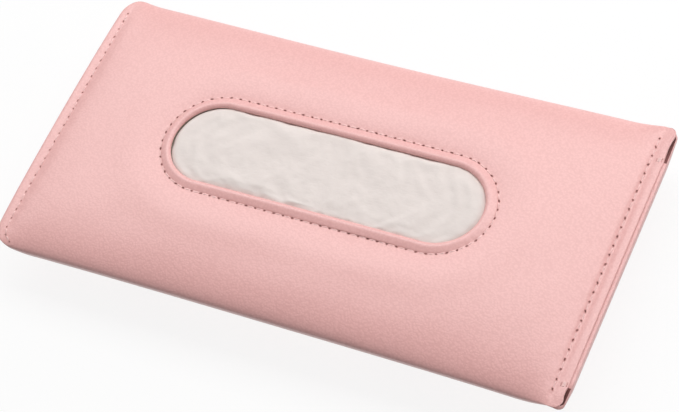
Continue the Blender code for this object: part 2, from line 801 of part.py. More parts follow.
window_cutter = prism("window_cutter", stadium(binding_roll + clearance),
                      back_level + pouch_thickness / 2, front_level + overrun)
make_cover()
front_layer("front_board", seam_half - front_board_inset, BOARD_TURN, board_depth,
            front_board_thickness, "board")
front_layer("front_lining", seam_half - front_lining_inset, BOARD_TURN, lining_depth,
            front_lining_thickness, "lining")
make_binding()
make_threads()
make_tacks()
make_top_tissue()
make_stack()
make_back_margins()
panel_skin, panel_board, panel_pieces = make_panel()
hang(panel_pieces + make_clips(panel_skin, panel_board))
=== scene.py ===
"""Visor tissue holder in pink leatherette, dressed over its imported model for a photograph."""

import math

import bmesh
import bpy
import numpy as np
from mathutils import Euler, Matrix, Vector
from mathutils.bvhtree import BVHTree


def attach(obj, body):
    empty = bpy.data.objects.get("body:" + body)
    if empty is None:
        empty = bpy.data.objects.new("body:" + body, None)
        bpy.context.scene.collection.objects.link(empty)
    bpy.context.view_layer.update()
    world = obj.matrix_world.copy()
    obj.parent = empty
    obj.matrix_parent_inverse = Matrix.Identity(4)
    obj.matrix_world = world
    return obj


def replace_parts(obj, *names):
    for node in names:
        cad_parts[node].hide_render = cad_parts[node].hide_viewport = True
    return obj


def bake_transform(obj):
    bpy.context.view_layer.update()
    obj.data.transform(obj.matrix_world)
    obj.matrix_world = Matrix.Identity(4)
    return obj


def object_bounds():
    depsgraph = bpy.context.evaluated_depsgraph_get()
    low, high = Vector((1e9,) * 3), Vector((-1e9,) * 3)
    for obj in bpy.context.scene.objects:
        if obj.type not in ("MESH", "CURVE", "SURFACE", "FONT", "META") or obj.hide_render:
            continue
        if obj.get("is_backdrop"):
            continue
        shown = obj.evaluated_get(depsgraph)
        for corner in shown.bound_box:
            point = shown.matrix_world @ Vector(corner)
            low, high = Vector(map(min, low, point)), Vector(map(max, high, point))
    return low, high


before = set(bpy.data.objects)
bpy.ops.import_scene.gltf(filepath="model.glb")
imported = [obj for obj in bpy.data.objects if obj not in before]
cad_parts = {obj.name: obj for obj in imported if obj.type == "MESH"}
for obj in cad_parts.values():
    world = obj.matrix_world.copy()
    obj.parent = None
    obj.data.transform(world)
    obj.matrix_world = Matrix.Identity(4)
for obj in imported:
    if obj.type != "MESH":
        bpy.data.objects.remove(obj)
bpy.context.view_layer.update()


# Cover
# One cut of polyurethane-coated fabric, 1.2 mm thick, pink, with a fine embossed pebble grain. It is
# folded round both long edges, sewn shut across both ends, and has an oval window in its front and
# a loading opening in its back.
MM = 0.001
pouch_length, end_width, pouch_thickness = 231 * MM, 120.5 * MM, 14 * MM
leatherette = 1.2 * MM
# The pile swells the pouch between the seams, and so draws each fold in by this much
side_pull = 1.75 * MM
# The back face lies above the panel and the clips, and z is 0 where the clips rest
back_level = 12 * MM
front_level = back_level + pouch_thickness
seam_thickness, hem_thickness = 2.6 * MM, 4.4 * MM
left_edge, right_edge = -pouch_length / 2, pouch_length / 2
left_seam, right_seam = left_edge + 4.5 * MM, right_edge - 6.4 * MM
hem_edge = right_edge - 1.2 * MM
seam_middle, seam_half = (left_seam + right_seam) / 2, (right_seam - left_seam) / 2
seam_level = back_level + 0.54 * pouch_thickness
left_corner, end_taper = 9 * MM, 13 * MM
back_flat = end_width / 2 - side_pull - pouch_thickness / 2
window_x, window_y = seam_middle - 0.2 * MM, 2.3 * MM
window_straight, window_radius = 45.4 * MM, 16.85 * MM
window_row, window_stitches = 4.8 * MM, 84
opening_half, opening_near, opening_far = 90.1 * MM, -36 * MM, 36.8 * MM
opening_corner = 8 * MM
# Length of a stitch in the end rows
pitch = 4 * MM


def swelling(x):
    """Share of the way from the middle to a seam, and how far the pile swells the pouch there."""
    share = np.minimum(np.abs(x - seam_middle) / seam_half, 1.0)
    return share, (1.0 - share ** 3) ** 0.625


def section(x):
    """Half width, back, middle and front levels of the pouch at places along it."""
    share, swell = swelling(x)
    half_width = end_width / 2 - side_pull * swell
    corner = np.clip(left_corner - (x - left_edge), 0.0, left_corner)
    half_width = half_width - left_corner + np.sqrt(left_corner ** 2 - corner ** 2)
    rise = np.clip(1.0 - (1.0 - share) * seam_half / end_taper, 0.0, 1.0) ** 2
    back = back_level + (seam_level - seam_thickness / 2 - back_level) * rise
    front = seam_level + seam_thickness / 2
    front = front + (front_level - front) * swell
    past = np.clip((x - right_seam) / (hem_edge - right_seam), 0.0, 1.0)
    half = seam_thickness / 2 + (hem_thickness - seam_thickness) / 2 * np.sin(past * math.pi / 2)
    tip = np.clip(seam_thickness / 2 - (x - left_edge), 0.0, seam_thickness / 2)
    half = np.where(x > right_seam, half, np.sqrt(np.maximum(half ** 2 - tip ** 2, 0.0)))
    extra = half - seam_thickness / 2
    return half_width, back - extra, (back + front) / 2, front + extra


def from_window(x, y):
    """Distance out from the window's inner edge, and the way along its row from the nearest middle."""
    beyond = np.maximum(np.abs(x - window_x) - window_straight, 0.0)
    out = np.hypot(beyond, y - window_y) - window_radius
    turn = np.arctan2(beyond, np.abs(y - window_y))
    return out, np.minimum(np.abs(x - window_x), window_straight) + (window_radius + window_row) * turn


quarter_row = window_straight + (window_radius + window_row) * math.pi / 2
window_pitch = 4 * quarter_row / window_stitches
# Relief round the window: a valley along its row with a dimple at each stitch, and a low hump further
# out that fades toward both folds
valley_depth, valley_out, valley_in = 0.78 * MM, 4.6 * MM, 3 * MM
dimple_depth, dimple_width = 0.18 * MM, 1.1 * MM
hump_height, hump_out, hump_width = 0.36 * MM, 11 * MM, 7 * MM
hump_end, hump_fade = 50 * MM, 14 * MM
# Relief of the end rows: place, way in, and the groove's shift, reach inward, reach outward and depth
end_rows = ((left_seam, 1.0, 0.0, 2.6 * MM, 0.9 * MM, 0.32 * MM),
            (right_seam, -1.0, 0.7 * MM, 0.9 * MM, 1.7 * MM, 0.5 * MM))
stitch_depth, stitch_width = 0.15 * MM, 0.9 * MM
pucker_height, pucker_reach = 0.06 * MM, 5 * MM
margin_puff, calm_end = 0.35 * MM, 12 * MM


def pull(x, y):
    """How far the thread and the pile move the front from its plain curve, up positive."""
    out, along = from_window(x, y)
    gap = out - window_row
    valley = np.where(gap > 0, np.exp(-gap / valley_out), np.exp(-(gap / valley_in) ** 2))
    dimple = np.exp(-(gap / dimple_width) ** 2) * (0.5 + 0.5 * np.cos(2 * math.pi * along / window_pitch))
    hump = np.exp(-((gap - hump_out) / hump_width) ** 2)
    hump = hump * np.clip((hump_end - np.abs(y)) / hump_fade, 0.0, 1.0)
    move = hump_height * hump - valley_depth * valley - dimple_depth * dimple
    beat = 0.5 + 0.5 * np.cos(2 * math.pi * y / pitch)
    for seam, inward, shift, reach_in, reach_out, depth in end_rows:
        gap = (x - seam) * inward
        groove = np.exp(-((gap + shift) / np.where(gap + shift > 0, reach_in, reach_out)) ** 2)
        move = move - depth * groove - stitch_depth * np.exp(-(gap / stitch_width) ** 2) * beat
        pucker = np.exp(-np.maximum(gap, 0.0) / pucker_reach) * (gap > 0)
        move = move + pucker_height * pucker * np.sin(math.pi * (y + 0.5 * gap) / pitch)
    margin = np.clip((left_seam - x) / (left_seam - left_edge), 0.0, 1.0)
    move = move + margin_puff * np.sin(math.pi * margin) ** 0.7
    # Two crossing waves out of step, so that the slack rolls unevenly over the pile
    rolling = 0.16 * MM * np.sin(x / (19 * MM) + 0.8) * np.sin(y / (15 * MM) - 0.6)
    rolling = rolling + 0.1 * MM * np.sin(x / (8.5 * MM) - y / (13 * MM)) * np.cos(y / (9 * MM) + 1.1)
    return move + rolling * np.clip((seam_half - np.abs(x - seam_middle)) / calm_end, 0.0, 1.0)


def front_height(x, y, depth=0.0):
    """Height of the front's outer face without its relief, or of a depth below it."""
    half_width, _, middle, front = section(x)
    share = np.minimum(np.abs(y) / (half_width - depth), 1.0)
    return middle + (front - middle - depth) * np.sqrt(1.0 - share ** 4)


def mesh_of(name, points, faces, closed=False, kinds=None):
    """Mesh object from arrays of points and faces, smooth shaded, with each face's material if given."""
    mesh = bpy.data.meshes.new(name)
    mesh.from_pydata([tuple(p) for p in points], [], [tuple(f) for f in faces])
    if kinds is not None:
        mesh.polygons.foreach_set("material_index", kinds)
    work = bmesh.new()
    work.from_mesh(mesh)
    bmesh.ops.remove_doubles(work, verts=work.verts, dist=0.01 * MM)
    if closed:
        bmesh.ops.recalc_face_normals(work, faces=work.faces)
    work.to_mesh(mesh)
    work.free()
    mesh.shade_smooth()
    thing = bpy.data.objects.new(name, mesh)
    bpy.context.scene.collection.objects.link(thing)
    return thing


def grid_faces(rows, columns, round_columns=False):
    """Quads over a grid of points, numbered row by row."""
    row = np.arange(rows - 1)[:, None]
    column = np.arange(columns if round_columns else columns - 1)[None, :]
    after, beside = row + 1, (column + 1) % columns
    quads = [row * columns + column, row * columns + beside, after * columns + beside,
             after * columns + column]
    return np.stack([q.ravel() for q in np.broadcast_arrays(*quads)], axis=1)


# Places along the pouch: a millimetre apart, closer at both ends, and on the edges of the opening
tip_places = left_edge + seam_thickness / 2 * np.array([0, 0.04, 0.14, 0.3, 0.5, 0.75, 1.0])
body_places = np.arange(left_edge + 1.9 * MM, right_seam - 0.4 * MM, 1 * MM)
edges = np.array([seam_middle - opening_half, seam_middle + opening_half])
body_places = np.array([p for p in body_places if np.abs(edges - p).min() > 0.4 * MM])
places = np.sort(np.concatenate([tip_places, body_places, edges, [right_seam]]))
# Round the section: over the front, down the near fold, along the back, up the far fold
front_turns = np.linspace(math.pi / 2, -math.pi / 2, 181)
fold_turns = np.linspace(0, math.pi / 2, 13)[1:-1]
back_rows = np.concatenate([np.linspace(-back_flat, opening_near, 14),
                            np.linspace(opening_near, opening_far, 50)[1:],
                            np.linspace(opening_far, back_flat, 14)[1:]])


def ring(x):
    """Outer face of the pouch round one place, as y, z and how far each point is on the back."""
    half_width, back, middle, front = (float(v) for v in section(np.float64(x)))
    y = half_width * np.sin(front_turns)
    z = middle + (front - middle) * np.cos(front_turns) * np.sqrt(1 + np.sin(front_turns) ** 2)
    z = z + pull(np.float64(x), y) * np.cos(front_turns) ** 0.5
    radius = middle - back
    fold_y = half_width - radius + radius * np.cos(fold_turns)
    fold_z = middle - radius * np.sin(fold_turns)
    beside_opening = abs(x - seam_middle) < opening_half + 1 * MM
    flat = back_rows if beside_opening else back_rows * (half_width - radius) / back_flat
    ys = np.concatenate([y, -fold_y, flat, fold_y[::-1]])
    zs = np.concatenate([z, fold_z, np.full(len(flat), back), fold_z[::-1]])
    behind = np.sin(fold_turns)
    return ys, zs, np.concatenate([np.zeros(len(y)), behind, np.ones(len(flat)), behind[::-1]])


# Lines of the folds and corners, seen from the front: the far fold is hollow and the near one nearly
# straight, the left corners and the far right one are drawn in, and the near right one stands out
far_hollow, near_pull, near_lean = 2.3 * MM, 1.05 * MM, 0.35 * MM
far_corner, far_corner_length = 0.9 * MM, 14 * MM
near_corner, near_corner_length = 1.1 * MM, 18 * MM
left_far_corner, left_near_corner, left_corner_length = 1.2 * MM, 0.8 * MM, 9 * MM


def at_right_corner(xs, across, length):
    """1 at a right corner, fading along the fold and toward the middle."""
    return np.clip((xs - right_edge + length) / length, 0.0, 1.0) ** 1.5 * np.clip(across, 0.0, 1.0) ** 4


def draw_in(xs, ys):
    """Move points of the outer face to the real lines of the folds and corners."""
    share, swell = swelling(xs)
    pulled = side_pull * swell
    far_move = pulled - far_hollow * (1.0 - share ** 2)
    near_move = near_pull - near_lean * xs / right_edge - pulled
    edge = np.clip(np.abs(ys) / (end_width / 2 - pulled), 0.0, 1.0) ** 8
    ys = ys + edge * np.where(ys > 0, far_move, near_move)
    across = ys / (end_width / 2)
    left = np.clip(1 - (xs - left_edge) / left_corner_length, 0.0, 1.0)
    left = left * np.abs(across) ** np.where(ys > 0, 1.6, 3)
    far = at_right_corner(xs, across, far_corner_length)
    near = at_right_corner(xs, -across, near_corner_length)
    xs = xs + np.where(ys > 0, left_far_corner, left_near_corner) * left
    return xs, ys - far_corner * far - near_corner * near


rings = []
for x in places:
    ys, zs, _ = ring(x)
    xs, ys = draw_in(np.full(len(ys), x), ys)
    rings.append(np.stack([xs, ys, zs], axis=1))
# Past the right seam the front leaf stops short of the back leaf. The leaves touch, but part at both
# corners, where the fold springs open and its backing shows, coloured dark as painted shade.
far_slit, near_slit, slit_mouth = 14.6 * MM, 7.6 * MM, 2.6 * MM
corner_round, leaf_lift, leaf_recede, edge_round = 2.6 * MM, 0.35 * MM, 0.4 * MM, 0.4 * MM
middle_level = float(section(np.float64(hem_edge))[2])
for share in np.linspace(0, 1, 12)[1:]:
    ys, zs, behind = ring(right_seam + share * (hem_edge - right_seam))
    length = np.where(ys > 0, far_slit, near_slit)
    open_share = np.clip((np.abs(ys) - (end_width / 2 - leatherette - length)) / length, 0.0, 1.0)
    turned = np.clip(np.abs(ys) - (end_width / 2 - corner_round), 0.0, corner_round)
    front_leaf = zs > middle_level
    end = hem_edge + (right_edge - hem_edge) * behind * (1 - 0.75 * open_share)
    end = end - (corner_round - np.sqrt(corner_round ** 2 - turned ** 2))
    end = end - front_leaf * leaf_recede * np.sin(math.pi * np.minimum(1.15 * open_share, 1.0))
    zs = zs + front_leaf * leaf_lift * open_share * share ** 2
    xs, ys = draw_in(right_seam + share * (end - right_seam) - edge_round * (share == 1.0), ys)
    rings.append(np.stack([xs, ys, zs], axis=1))
# The leaves' cut edges are rounded over into the slit. Where the leaves touch, the back one's edge
# rises a millimetre, so that it shows as a narrow ledge
ledge, lip_room = 1 * MM, 0.9 * MM
outer = rings[-1]
inner_y = outer[:, 1] * (end_width / 2 - leatherette) / (end_width / 2)
narrowing = np.sqrt(np.clip((end_width / 2 - leatherette - np.abs(inner_y)) / (1 * MM), 0.0, 1.0))
room = np.maximum(np.abs(outer[:, 2] - middle_level) - lip_room, 0.0)
half_gap = np.minimum(slit_mouth / 2 * open_share * narrowing, room)
inner_z = middle_level + np.where(front_leaf, 1.0, -1.0) * half_gap
inner_z = inner_z + ledge * (1 - open_share) * ~front_leaf
for inward, back_off in ((0.06, 0.18), (0.2, 0.04), (0.5, 0.0), (0.8, 0.03), (0.95, 0.1), (1.0, 0.25)):
    ys = outer[:, 1] + (inner_y - outer[:, 1]) * inward
    zs = outer[:, 2] + (inner_z - outer[:, 2]) * inward
    rings.append(np.stack([end - back_off * MM, ys, zs], axis=1))
lip_rings = len(rings)
for closed_depth, open_depth in ((0.5, 0.3), (0.6, 4.5)):
    deep = np.minimum(end, hem_edge) - (closed_depth + open_depth * open_share) * MM
    rings.append(np.stack([deep, inner_y, inner_z], axis=1))
points = np.array(rings)
rows, columns = points.shape[:2]
faces = grid_faces(rows, columns, round_columns=True)
flat_points = points.reshape(-1, 3)
centres = flat_points[faces].mean(axis=1)
on_front = (faces % columns).max(axis=1) < len(front_turns)
out, _ = from_window(centres[:, 0], centres[:, 1])
under_binding = 2.3 * MM
in_window = on_front & (out < under_binding)
in_opening = ~on_front & (np.abs(centres[:, 0] - seam_middle) < opening_half) & (
    centres[:, 1] > opening_near) & (centres[:, 1] < opening_far) & (centres[:, 2] < back_level + 1 * MM)
# Round the opening's corners by drawing the points of its edge onto an arc
for index in np.unique(faces[in_opening]):
    p = flat_points[index]
    over_x = abs(p[0] - seam_middle) - (opening_half - opening_corner)
    centre_y = opening_near + opening_corner if p[1] < 0 else opening_far - opening_corner
    over_y = (centre_y - p[1]) if p[1] < 0 else (p[1] - centre_y)
    if over_x > 0 and over_y > 0 and max(over_x, over_y) > opening_corner - 0.05 * MM:
        scale = opening_corner / math.hypot(over_x, over_y)
        over_x = math.copysign(opening_half - opening_corner + over_x * scale, p[0] - seam_middle)
        p[0] = seam_middle + over_x
        p[1] = centre_y + math.copysign(over_y * scale, p[1])
shown = faces[~(in_window | in_opening)]
# Faces deep in the open slits take the backing's dark colour, which is painted shade
inside = (shown.min(axis=1) >= (lip_rings - 1) * columns) & (open_share[shown % columns].min(axis=1) > 0.02)
cover = mesh_of("cover_leather", flat_points, shown, kinds=inside.astype(int))
# Give the opening's edge the leatherette's thickness
work = bmesh.new()
work.from_mesh(cover.data)
rim = [e for e in work.edges if e.is_boundary and max(v.co.z for v in e.verts) < back_level + 0.1 * MM
       and max(abs(v.co.x - seam_middle) for v in e.verts) < opening_half + 0.1 * MM]
raised = bmesh.ops.extrude_edge_only(work, edges=rim)["geom"]
bmesh.ops.translate(work, verts=[v for v in raised if isinstance(v, bmesh.types.BMVert)],
                    vec=(0.0, 0.0, leatherette))
bmesh.ops.recalc_face_normals(work, faces=work.faces)
work.to_mesh(cover.data)
work.free()
cover.data.shade_smooth()


def linear(code):
    """Linear colour from an sRGB hex value."""
    values = [int(code[i:i + 2], 16) / 255 for i in (1, 3, 5)]
    return (*[v / 12.92 if v <= 0.04045 else ((v + 0.055) / 1.055) ** 2.4 for v in values], 1.0)


def add(tree, kind, inputs=None, **settings):
    """Add a node with its settings, and give its sockets values or the outputs that feed them."""
    made = tree.nodes.new("ShaderNode" + kind)
    for name, value in settings.items():
        setattr(made, name, value)
    for socket, value in (inputs or {}).items():
        if isinstance(value, bpy.types.NodeSocket):
            tree.links.new(value, made.inputs[socket])
        else:
            made.inputs[socket].default_value = value
    return made


def base(name, **sockets):
    """New material with what is the same all over, its tree, and places in the object's own metres."""
    made = bpy.data.materials.new(name)
    made.use_nodes = True
    for socket, value in sockets.items():
        made.node_tree.nodes["Principled BSDF"].inputs[socket.replace("_", " ")].default_value = value
    return made, made.node_tree, add(made.node_tree, "TexCoord").outputs["Object"]


def paint(tree, pattern, dark, light, height=None, depth_mm=0.0, strength=1.0, rough=None):
    """Colour a surface from dark to light by a pattern, and give it relief and a roughness that varies."""
    shader = tree.nodes["Principled BSDF"]
    tint = add(tree, "Mix", {0: pattern, 6: linear(dark), 7: linear(light)}, data_type="RGBA")
    tree.links.new(tint.outputs[2], shader.inputs["Base Color"])
    if height:
        bump = add(tree, "Bump", {"Height": height, "Strength": strength, "Distance": depth_mm * MM})
        tree.links.new(bump.outputs["Normal"], shader.inputs["Normal"])
    if rough:
        tree.links.new(rough, shader.inputs["Roughness"])


def leatherette_finish(name, colour, hollow, grain_mm, depth_mm):
    """Embossed polyurethane: pebbles with painted shade in the hollows between them, and fine pores on top.
    """
    made, tree, place = base(name, IOR=1.5, Coat_Weight=1.0, Coat_Roughness=0.36, Coat_IOR=1.6)
    bent = add(tree, "TexNoise", {"Vector": place, "Scale": 1 / (2.6 * MM), "Detail": 2.0})
    moved = add(tree, "VectorMath", {0: bent.outputs["Color"], 1: (0.5, 0.5, 0.5)}, operation="SUBTRACT")
    moved = add(tree, "VectorMath", {0: moved.outputs[0], "Scale": 1.1 * MM}, operation="SCALE")
    spot = add(tree, "VectorMath", {0: place, 1: moved.outputs[0]}, operation="ADD").outputs[0]
    cells = add(tree, "TexVoronoi", {"Vector": spot, "Scale": 1 / (grain_mm * MM), "Smoothness": 0.7},
                feature="SMOOTH_F1")
    pebble = add(tree, "MapRange", {"Value": cells.outputs["Distance"], "From Min": 0.15, "From Max": 0.75,
                                    "To Min": 1.0, "To Max": 0.0}, interpolation_type="SMOOTHSTEP")
    pores = add(tree, "TexNoise", {"Vector": place, "Scale": 1 / (0.35 * MM), "Detail": 3.0,
                                   "Roughness": 0.6})
    height = add(tree, "Math", {0: pores.outputs["Fac"], 1: 0.3, 2: pebble.outputs["Result"]},
                 operation="MULTIPLY_ADD")
    broad = add(tree, "TexNoise", {"Vector": place, "Scale": 1 / (38 * MM), "Detail": 3.0})
    mottle = add(tree, "TexNoise", {"Vector": place, "Scale": 1 / (3.2 * MM), "Detail": 2.0})
    shade = add(tree, "Math", {0: broad.outputs["Fac"], 1: mottle.outputs["Fac"]}, operation="ADD")
    # The hollows between pebbles take the darker colour as painted shade; the mottle is the sheet's own
    blend = add(tree, "Math", {0: shade.outputs[0], 1: 0.22, 2: pebble.outputs["Result"]},
                operation="MULTIPLY_ADD")
    ramp = add(tree, "MapRange", {"Value": blend.outputs[0], "From Min": 0.05, "From Max": 1.2})
    rough = add(tree, "MapRange", {"Value": pores.outputs["Fac"], "From Min": 0.3, "From Max": 0.7,
                                   "To Min": 0.46, "To Max": 0.58})
    paint(tree, ramp.outputs["Result"], hollow, colour, height.outputs[0], depth_mm, rough=rough.outputs[0])
    return made


# Metres after which a wave texture of scale 1 repeats
wave_repeat = 0.314


def woven_finish(name, dark, light, thread_mm):
    """Plain weave: warp and weft show in turn, each thread round."""
    made, tree, place = base(name, Roughness=0.85, IOR=1.45, Sheen_Weight=0.25, Sheen_Roughness=0.5)
    threads = {"Vector": place, "Scale": wave_repeat / (thread_mm * MM)}
    warp = add(tree, "TexWave", threads, bands_direction="X")
    weft = add(tree, "TexWave", threads, bands_direction="Y")
    over = add(tree, "Math", {0: warp.outputs["Fac"], 1: weft.outputs["Fac"]}, operation="MULTIPLY")
    worn = add(tree, "TexNoise", {"Vector": place, "Scale": 1 / (6 * MM), "Detail": 3.0})
    amount = add(tree, "Math", {0: worn.outputs["Fac"], 1: 0.5, 2: over.outputs[0]}, operation="MULTIPLY_ADD")
    paint(tree, amount.outputs[0], dark, light, over.outputs[0], 0.1, 0.6)
    return made


# Pink polyurethane embossed with pebbles just under a millimetre wide: a low mottle and a soft sheen
pebbled = leatherette_finish("pebbled_pu_leatherette", "#E9AEAA", "#E1A39F", 0.85, 0.047)
cover.data.materials.append(pebbled)
# Knit on the leatherette's back, drawn as a coarse weave: dull, coloured dark as painted shade in the slits
cover.data.materials.append(woven_finish("knitted_backing_painted_shade", "#6A3D3A", "#8A5552", 0.5))
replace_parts(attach(cover, "pouch"), "cover")


# Window binding
# A strip of the same leatherette with its grain pressed nearly flat, rolled over the window's edge
# on a thin core. The stitches at its foot pull small slanting folds into it.
binding_points = 72 * 4
way = (np.arange(binding_points) + 0.5) / binding_points * 4 * quarter_row
# The roll's section in millimetres, out from the window's edge and up from the front: from the foot
# over the top and in under the edge. At its left end the window is a little wider, and the roll narrower
foot_out, wider_left = 4.55, 0.8
roll = [(foot_out, -0.86), (4.45, -0.68), (4.2, -0.52), (3.8, -0.37), (3.3, -0.2), (2.8, -0.04), (2.3, 0.1),
        (1.85, 0.18), (1.45, 0.18), (1.05, 0.08), (0.7, -0.08), (0.4, -0.3), (0.18, -0.55), (0.04, -0.82),
        (0.0, -1.1), (0.1, -1.4), (0.4, -1.75), (0.9, -2.3), (1.4, -3.0), (2.0, -3.35)]
fold_depth, fold_slant = 0.13, 0.8


def round_window(offset, way):
    """Points at an offset out from the window's edge, by the way along the stitch row from its top."""
    quarter = np.floor(way / quarter_row).astype(int) % 4
    left = way - np.floor(way / quarter_row) * quarter_row
    left = np.where(quarter % 2 == 1, quarter_row - left, left)
    turn = np.maximum(left - window_straight, 0.0) / (window_radius + window_row)
    x = np.minimum(left, window_straight) + (window_radius + offset) * np.sin(turn)
    y = (window_radius + offset) * np.cos(turn)
    x = np.where((quarter == 2) | (quarter == 3), -x, x)
    y = np.where((quarter == 1) | (quarter == 2), -y, y)
    return window_x + x, window_y + y


edge_x, _ = round_window(0.0, way)
leftness = np.clip((window_x - window_straight - edge_x) / window_radius, 0.0, 1.0)
drift = 0.05 * np.sin(way / (23 * MM)) + 0.04 * np.sin(way / (9 * MM) + 1.0)
uneven = 0.7 + 0.3 * np.sin(way / (7.3 * MM)) * np.sin(way / (2.9 * MM))
loops = []
for reach, rise in roll:
    x, y = round_window((reach + wider_left * leftness * (1 - reach / foot_out)) * MM, way)
    outer_side = rise > -0.9 and reach > 1.4
    foot = math.exp(-(foot_out - reach) / 1.6) if outer_side else 0.0
    slanted = way - fold_slant * (foot_out - reach) * MM
    fold = fold_depth * foot * uneven * np.cos(2 * math.pi * slanted / window_pitch)
    z = front_height(x, y) + (rise - fold + drift * min(max(rise + 0.5, 0.0), 1.0)) * MM
    loops.append(np.stack([x, y, z], axis=1))
binding = mesh_of("window_binding_leather", np.concatenate(loops),
                  grid_faces(len(roll), binding_points, round_columns=True))
# The same polyurethane pressed nearly flat over the core: plainer than the cover, with a softer gleam
binding.data.materials.append(leatherette_finish("rolled_pu_leatherette", "#E9AFAB", "#E2A5A1", 0.8, 0.016))
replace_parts(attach(binding, "pouch"), "window_binding")


# Stitches
# Lockstitch in pink bonded polyester thread, two plies twisted, four millimetres to a stitch. Each
# stitch is pulled down into its two needle holes, painted dark inside as shade, with thread between.
thread_radius, thread_sunk, thread_rise = 0.29 * MM, 0.38 * MM, 0.3 * MM
thread_sides, thread_steps, hidden_end = 8, 10, 0.12
# Rings of a needle hole: share of its size, share of its shade, and how far it lies above the surface
hole_sides, hole_rings = 10, ((0.42, 1.0, 0.05), (0.7, 0.5, 0.04), (1.0, 0.0, 0.01))


def thread_finish():
    """Filament yarn: light catches the plies, and dust and shade lie between them.

    The filaments are drawn six times coarser than real ones, which are too fine to show.
    """
    made, tree, place = base("bonded_polyester_thread", Roughness=0.6, IOR=1.5)
    fibres = add(tree, "TexNoise", {"Vector": place, "Scale": 1 / (0.16 * MM), "Detail": 2.0}).outputs["Fac"]
    paint(tree, fibres, "#F1BFBB", "#FAD8D4", fibres, 0.05)
    return made


def hole_finish():
    """Leatherette round a needle hole: its own pink at the edge, painted shade in the middle."""
    made, tree, place = base("needle_hole_painted_shade", Roughness=0.8, IOR=1.45)
    pit = add(tree, "Attribute", attribute_name="pit").outputs["Fac"]
    # The hole's dark middle is painted shade, made a little uneven
    uneven_hole_shade = add(tree, "TexNoise", {"Vector": place, "Scale": 1 / (0.5 * MM), "Detail": 1.0})
    depth = add(tree, "Math", {0: uneven_hole_shade.outputs["Fac"], 1: 0.5, 2: 0.75}, operation="MULTIPLY_ADD")
    depth = add(tree, "Math", {0: depth.outputs[0], 1: pit}, operation="MULTIPLY", use_clamp=True)
    paint(tree, depth.outputs[0], "#EBB3AE", "#8A4E4A")
    return made


thread, needle_hole = thread_finish(), hole_finish()


def surface_of(thing):
    """Search tree of a finished mesh, for laying thread on it."""
    return BVHTree.FromPolygons([v.co for v in thing.data.vertices],
                                [p.vertices for p in thing.data.polygons])


def lay(surface, x, y, up):
    """Height of the outermost surface over a place, seen from above or from below."""
    start = Vector((x, y, 60 * MM if up > 0 else -20 * MM))
    return surface.ray_cast(start, Vector((0.0, 0.0, -float(up))))[0].z


def sew(name, spots, surface, up, body, nodes, closed=False, hole=0.62, shade=0.85):
    """Row of stitches through the holes at these places in plan, lying on a surface.

    Up is 1 on the front and -1 on the back. A hole is about this many millimetres in radius, and shade
    is how dark it looks inside.
    """
    points, faces, kinds = [], [], []
    for a, b in zip(spots, spots[1:] + spots[:1] if closed else spots[1:]):
        along = Vector((b[0] - a[0], b[1] - a[1], 0.0)).normalized()
        across = Vector((-along.y, along.x, 0.0))
        start = len(points)
        for step in range(thread_steps + 1):
            t = step / thread_steps
            shown = hidden_end + (1 - 2 * hidden_end) * t
            x, y = a[0] + (b[0] - a[0]) * shown, a[1] + (b[1] - a[1]) * shown
            bow = math.sin(math.pi * t) ** 0.55
            centre = Vector((x, y, lay(surface, x, y, up) + up * (thread_rise * bow - thread_sunk)))
            for side in range(thread_sides):
                angle = 2 * math.pi * side / thread_sides
                radius = thread_radius * (0.6 + 0.4 * bow) * (1 + 0.13 * math.cos(2 * angle + 7 * t))
                rise = Vector((0.0, 0.0, radius * math.sin(angle)))
                points.append(centre + across * radius * math.cos(angle) + rise)
        rows = grid_faces(thread_steps + 1, thread_sides, round_columns=True) + start
        faces += rows.tolist()
        kinds += [0] * len(rows)
    pits = [0.0] * len(points)
    for index, (x, y) in enumerate(spots):
        # No two holes are pierced alike: each turns and grows a little from the last
        near = spots[index - 1] if index else spots[1]
        way = math.atan2(y - near[1], x - near[0]) + 0.4 * math.sin(1.7 * index)
        grown = 1 + 0.2 * math.sin(2.4 * index)
        start = len(points)
        points.append(Vector((x, y, lay(surface, x, y, up) + up * 0.05 * MM)))
        pits.append(shade)
        for size, pit, lift in hole_rings:
            for side in range(hole_sides):
                angle = 2 * math.pi * side / hole_sides
                long = 1.3 * size * grown * hole * MM * math.cos(angle)
                wide = 0.85 * size * hole * MM * math.sin(angle)
                px = x + long * math.cos(way) - wide * math.sin(way)
                py = y + long * math.sin(way) + wide * math.cos(way)
                points.append(Vector((px, py, lay(surface, px, py, up) + up * lift * MM)))
                pits.append(shade * pit)
        faces += [[start, start + 1 + side, start + 1 + (side + 1) % hole_sides]
                  for side in range(hole_sides)]
        rows = grid_faces(len(hole_rings), hole_sides, round_columns=True) + start + 1
        faces += rows.tolist()
        kinds += [1] * (hole_sides + len(rows))
    mesh = bpy.data.meshes.new(name)
    mesh.from_pydata(points, [], faces)
    mesh.materials.append(thread)
    mesh.materials.append(needle_hole)
    mesh.polygons.foreach_set("material_index", kinds)
    mesh.attributes.new("pit", "FLOAT", "POINT").data.foreach_set("value", pits)
    mesh.shade_smooth()
    row = bpy.data.objects.new(name, mesh)
    bpy.context.scene.collection.objects.link(row)
    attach(row, body)
    if nodes:
        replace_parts(row, *nodes)


cover_surface = surface_of(cover)
row_x, row_y = round_window(window_row, np.arange(window_stitches) * window_pitch)
sew("window_stitches", list(zip(row_x.tolist(), row_y.tolist())), cover_surface, 1, "pouch",
    ["window_thread"], closed=True)
left_spots = [(left_seam, y * MM) for y in range(52, -52, -4)]
right_spots = [(right_seam, y * MM) for y in range(54, -55, -4)]
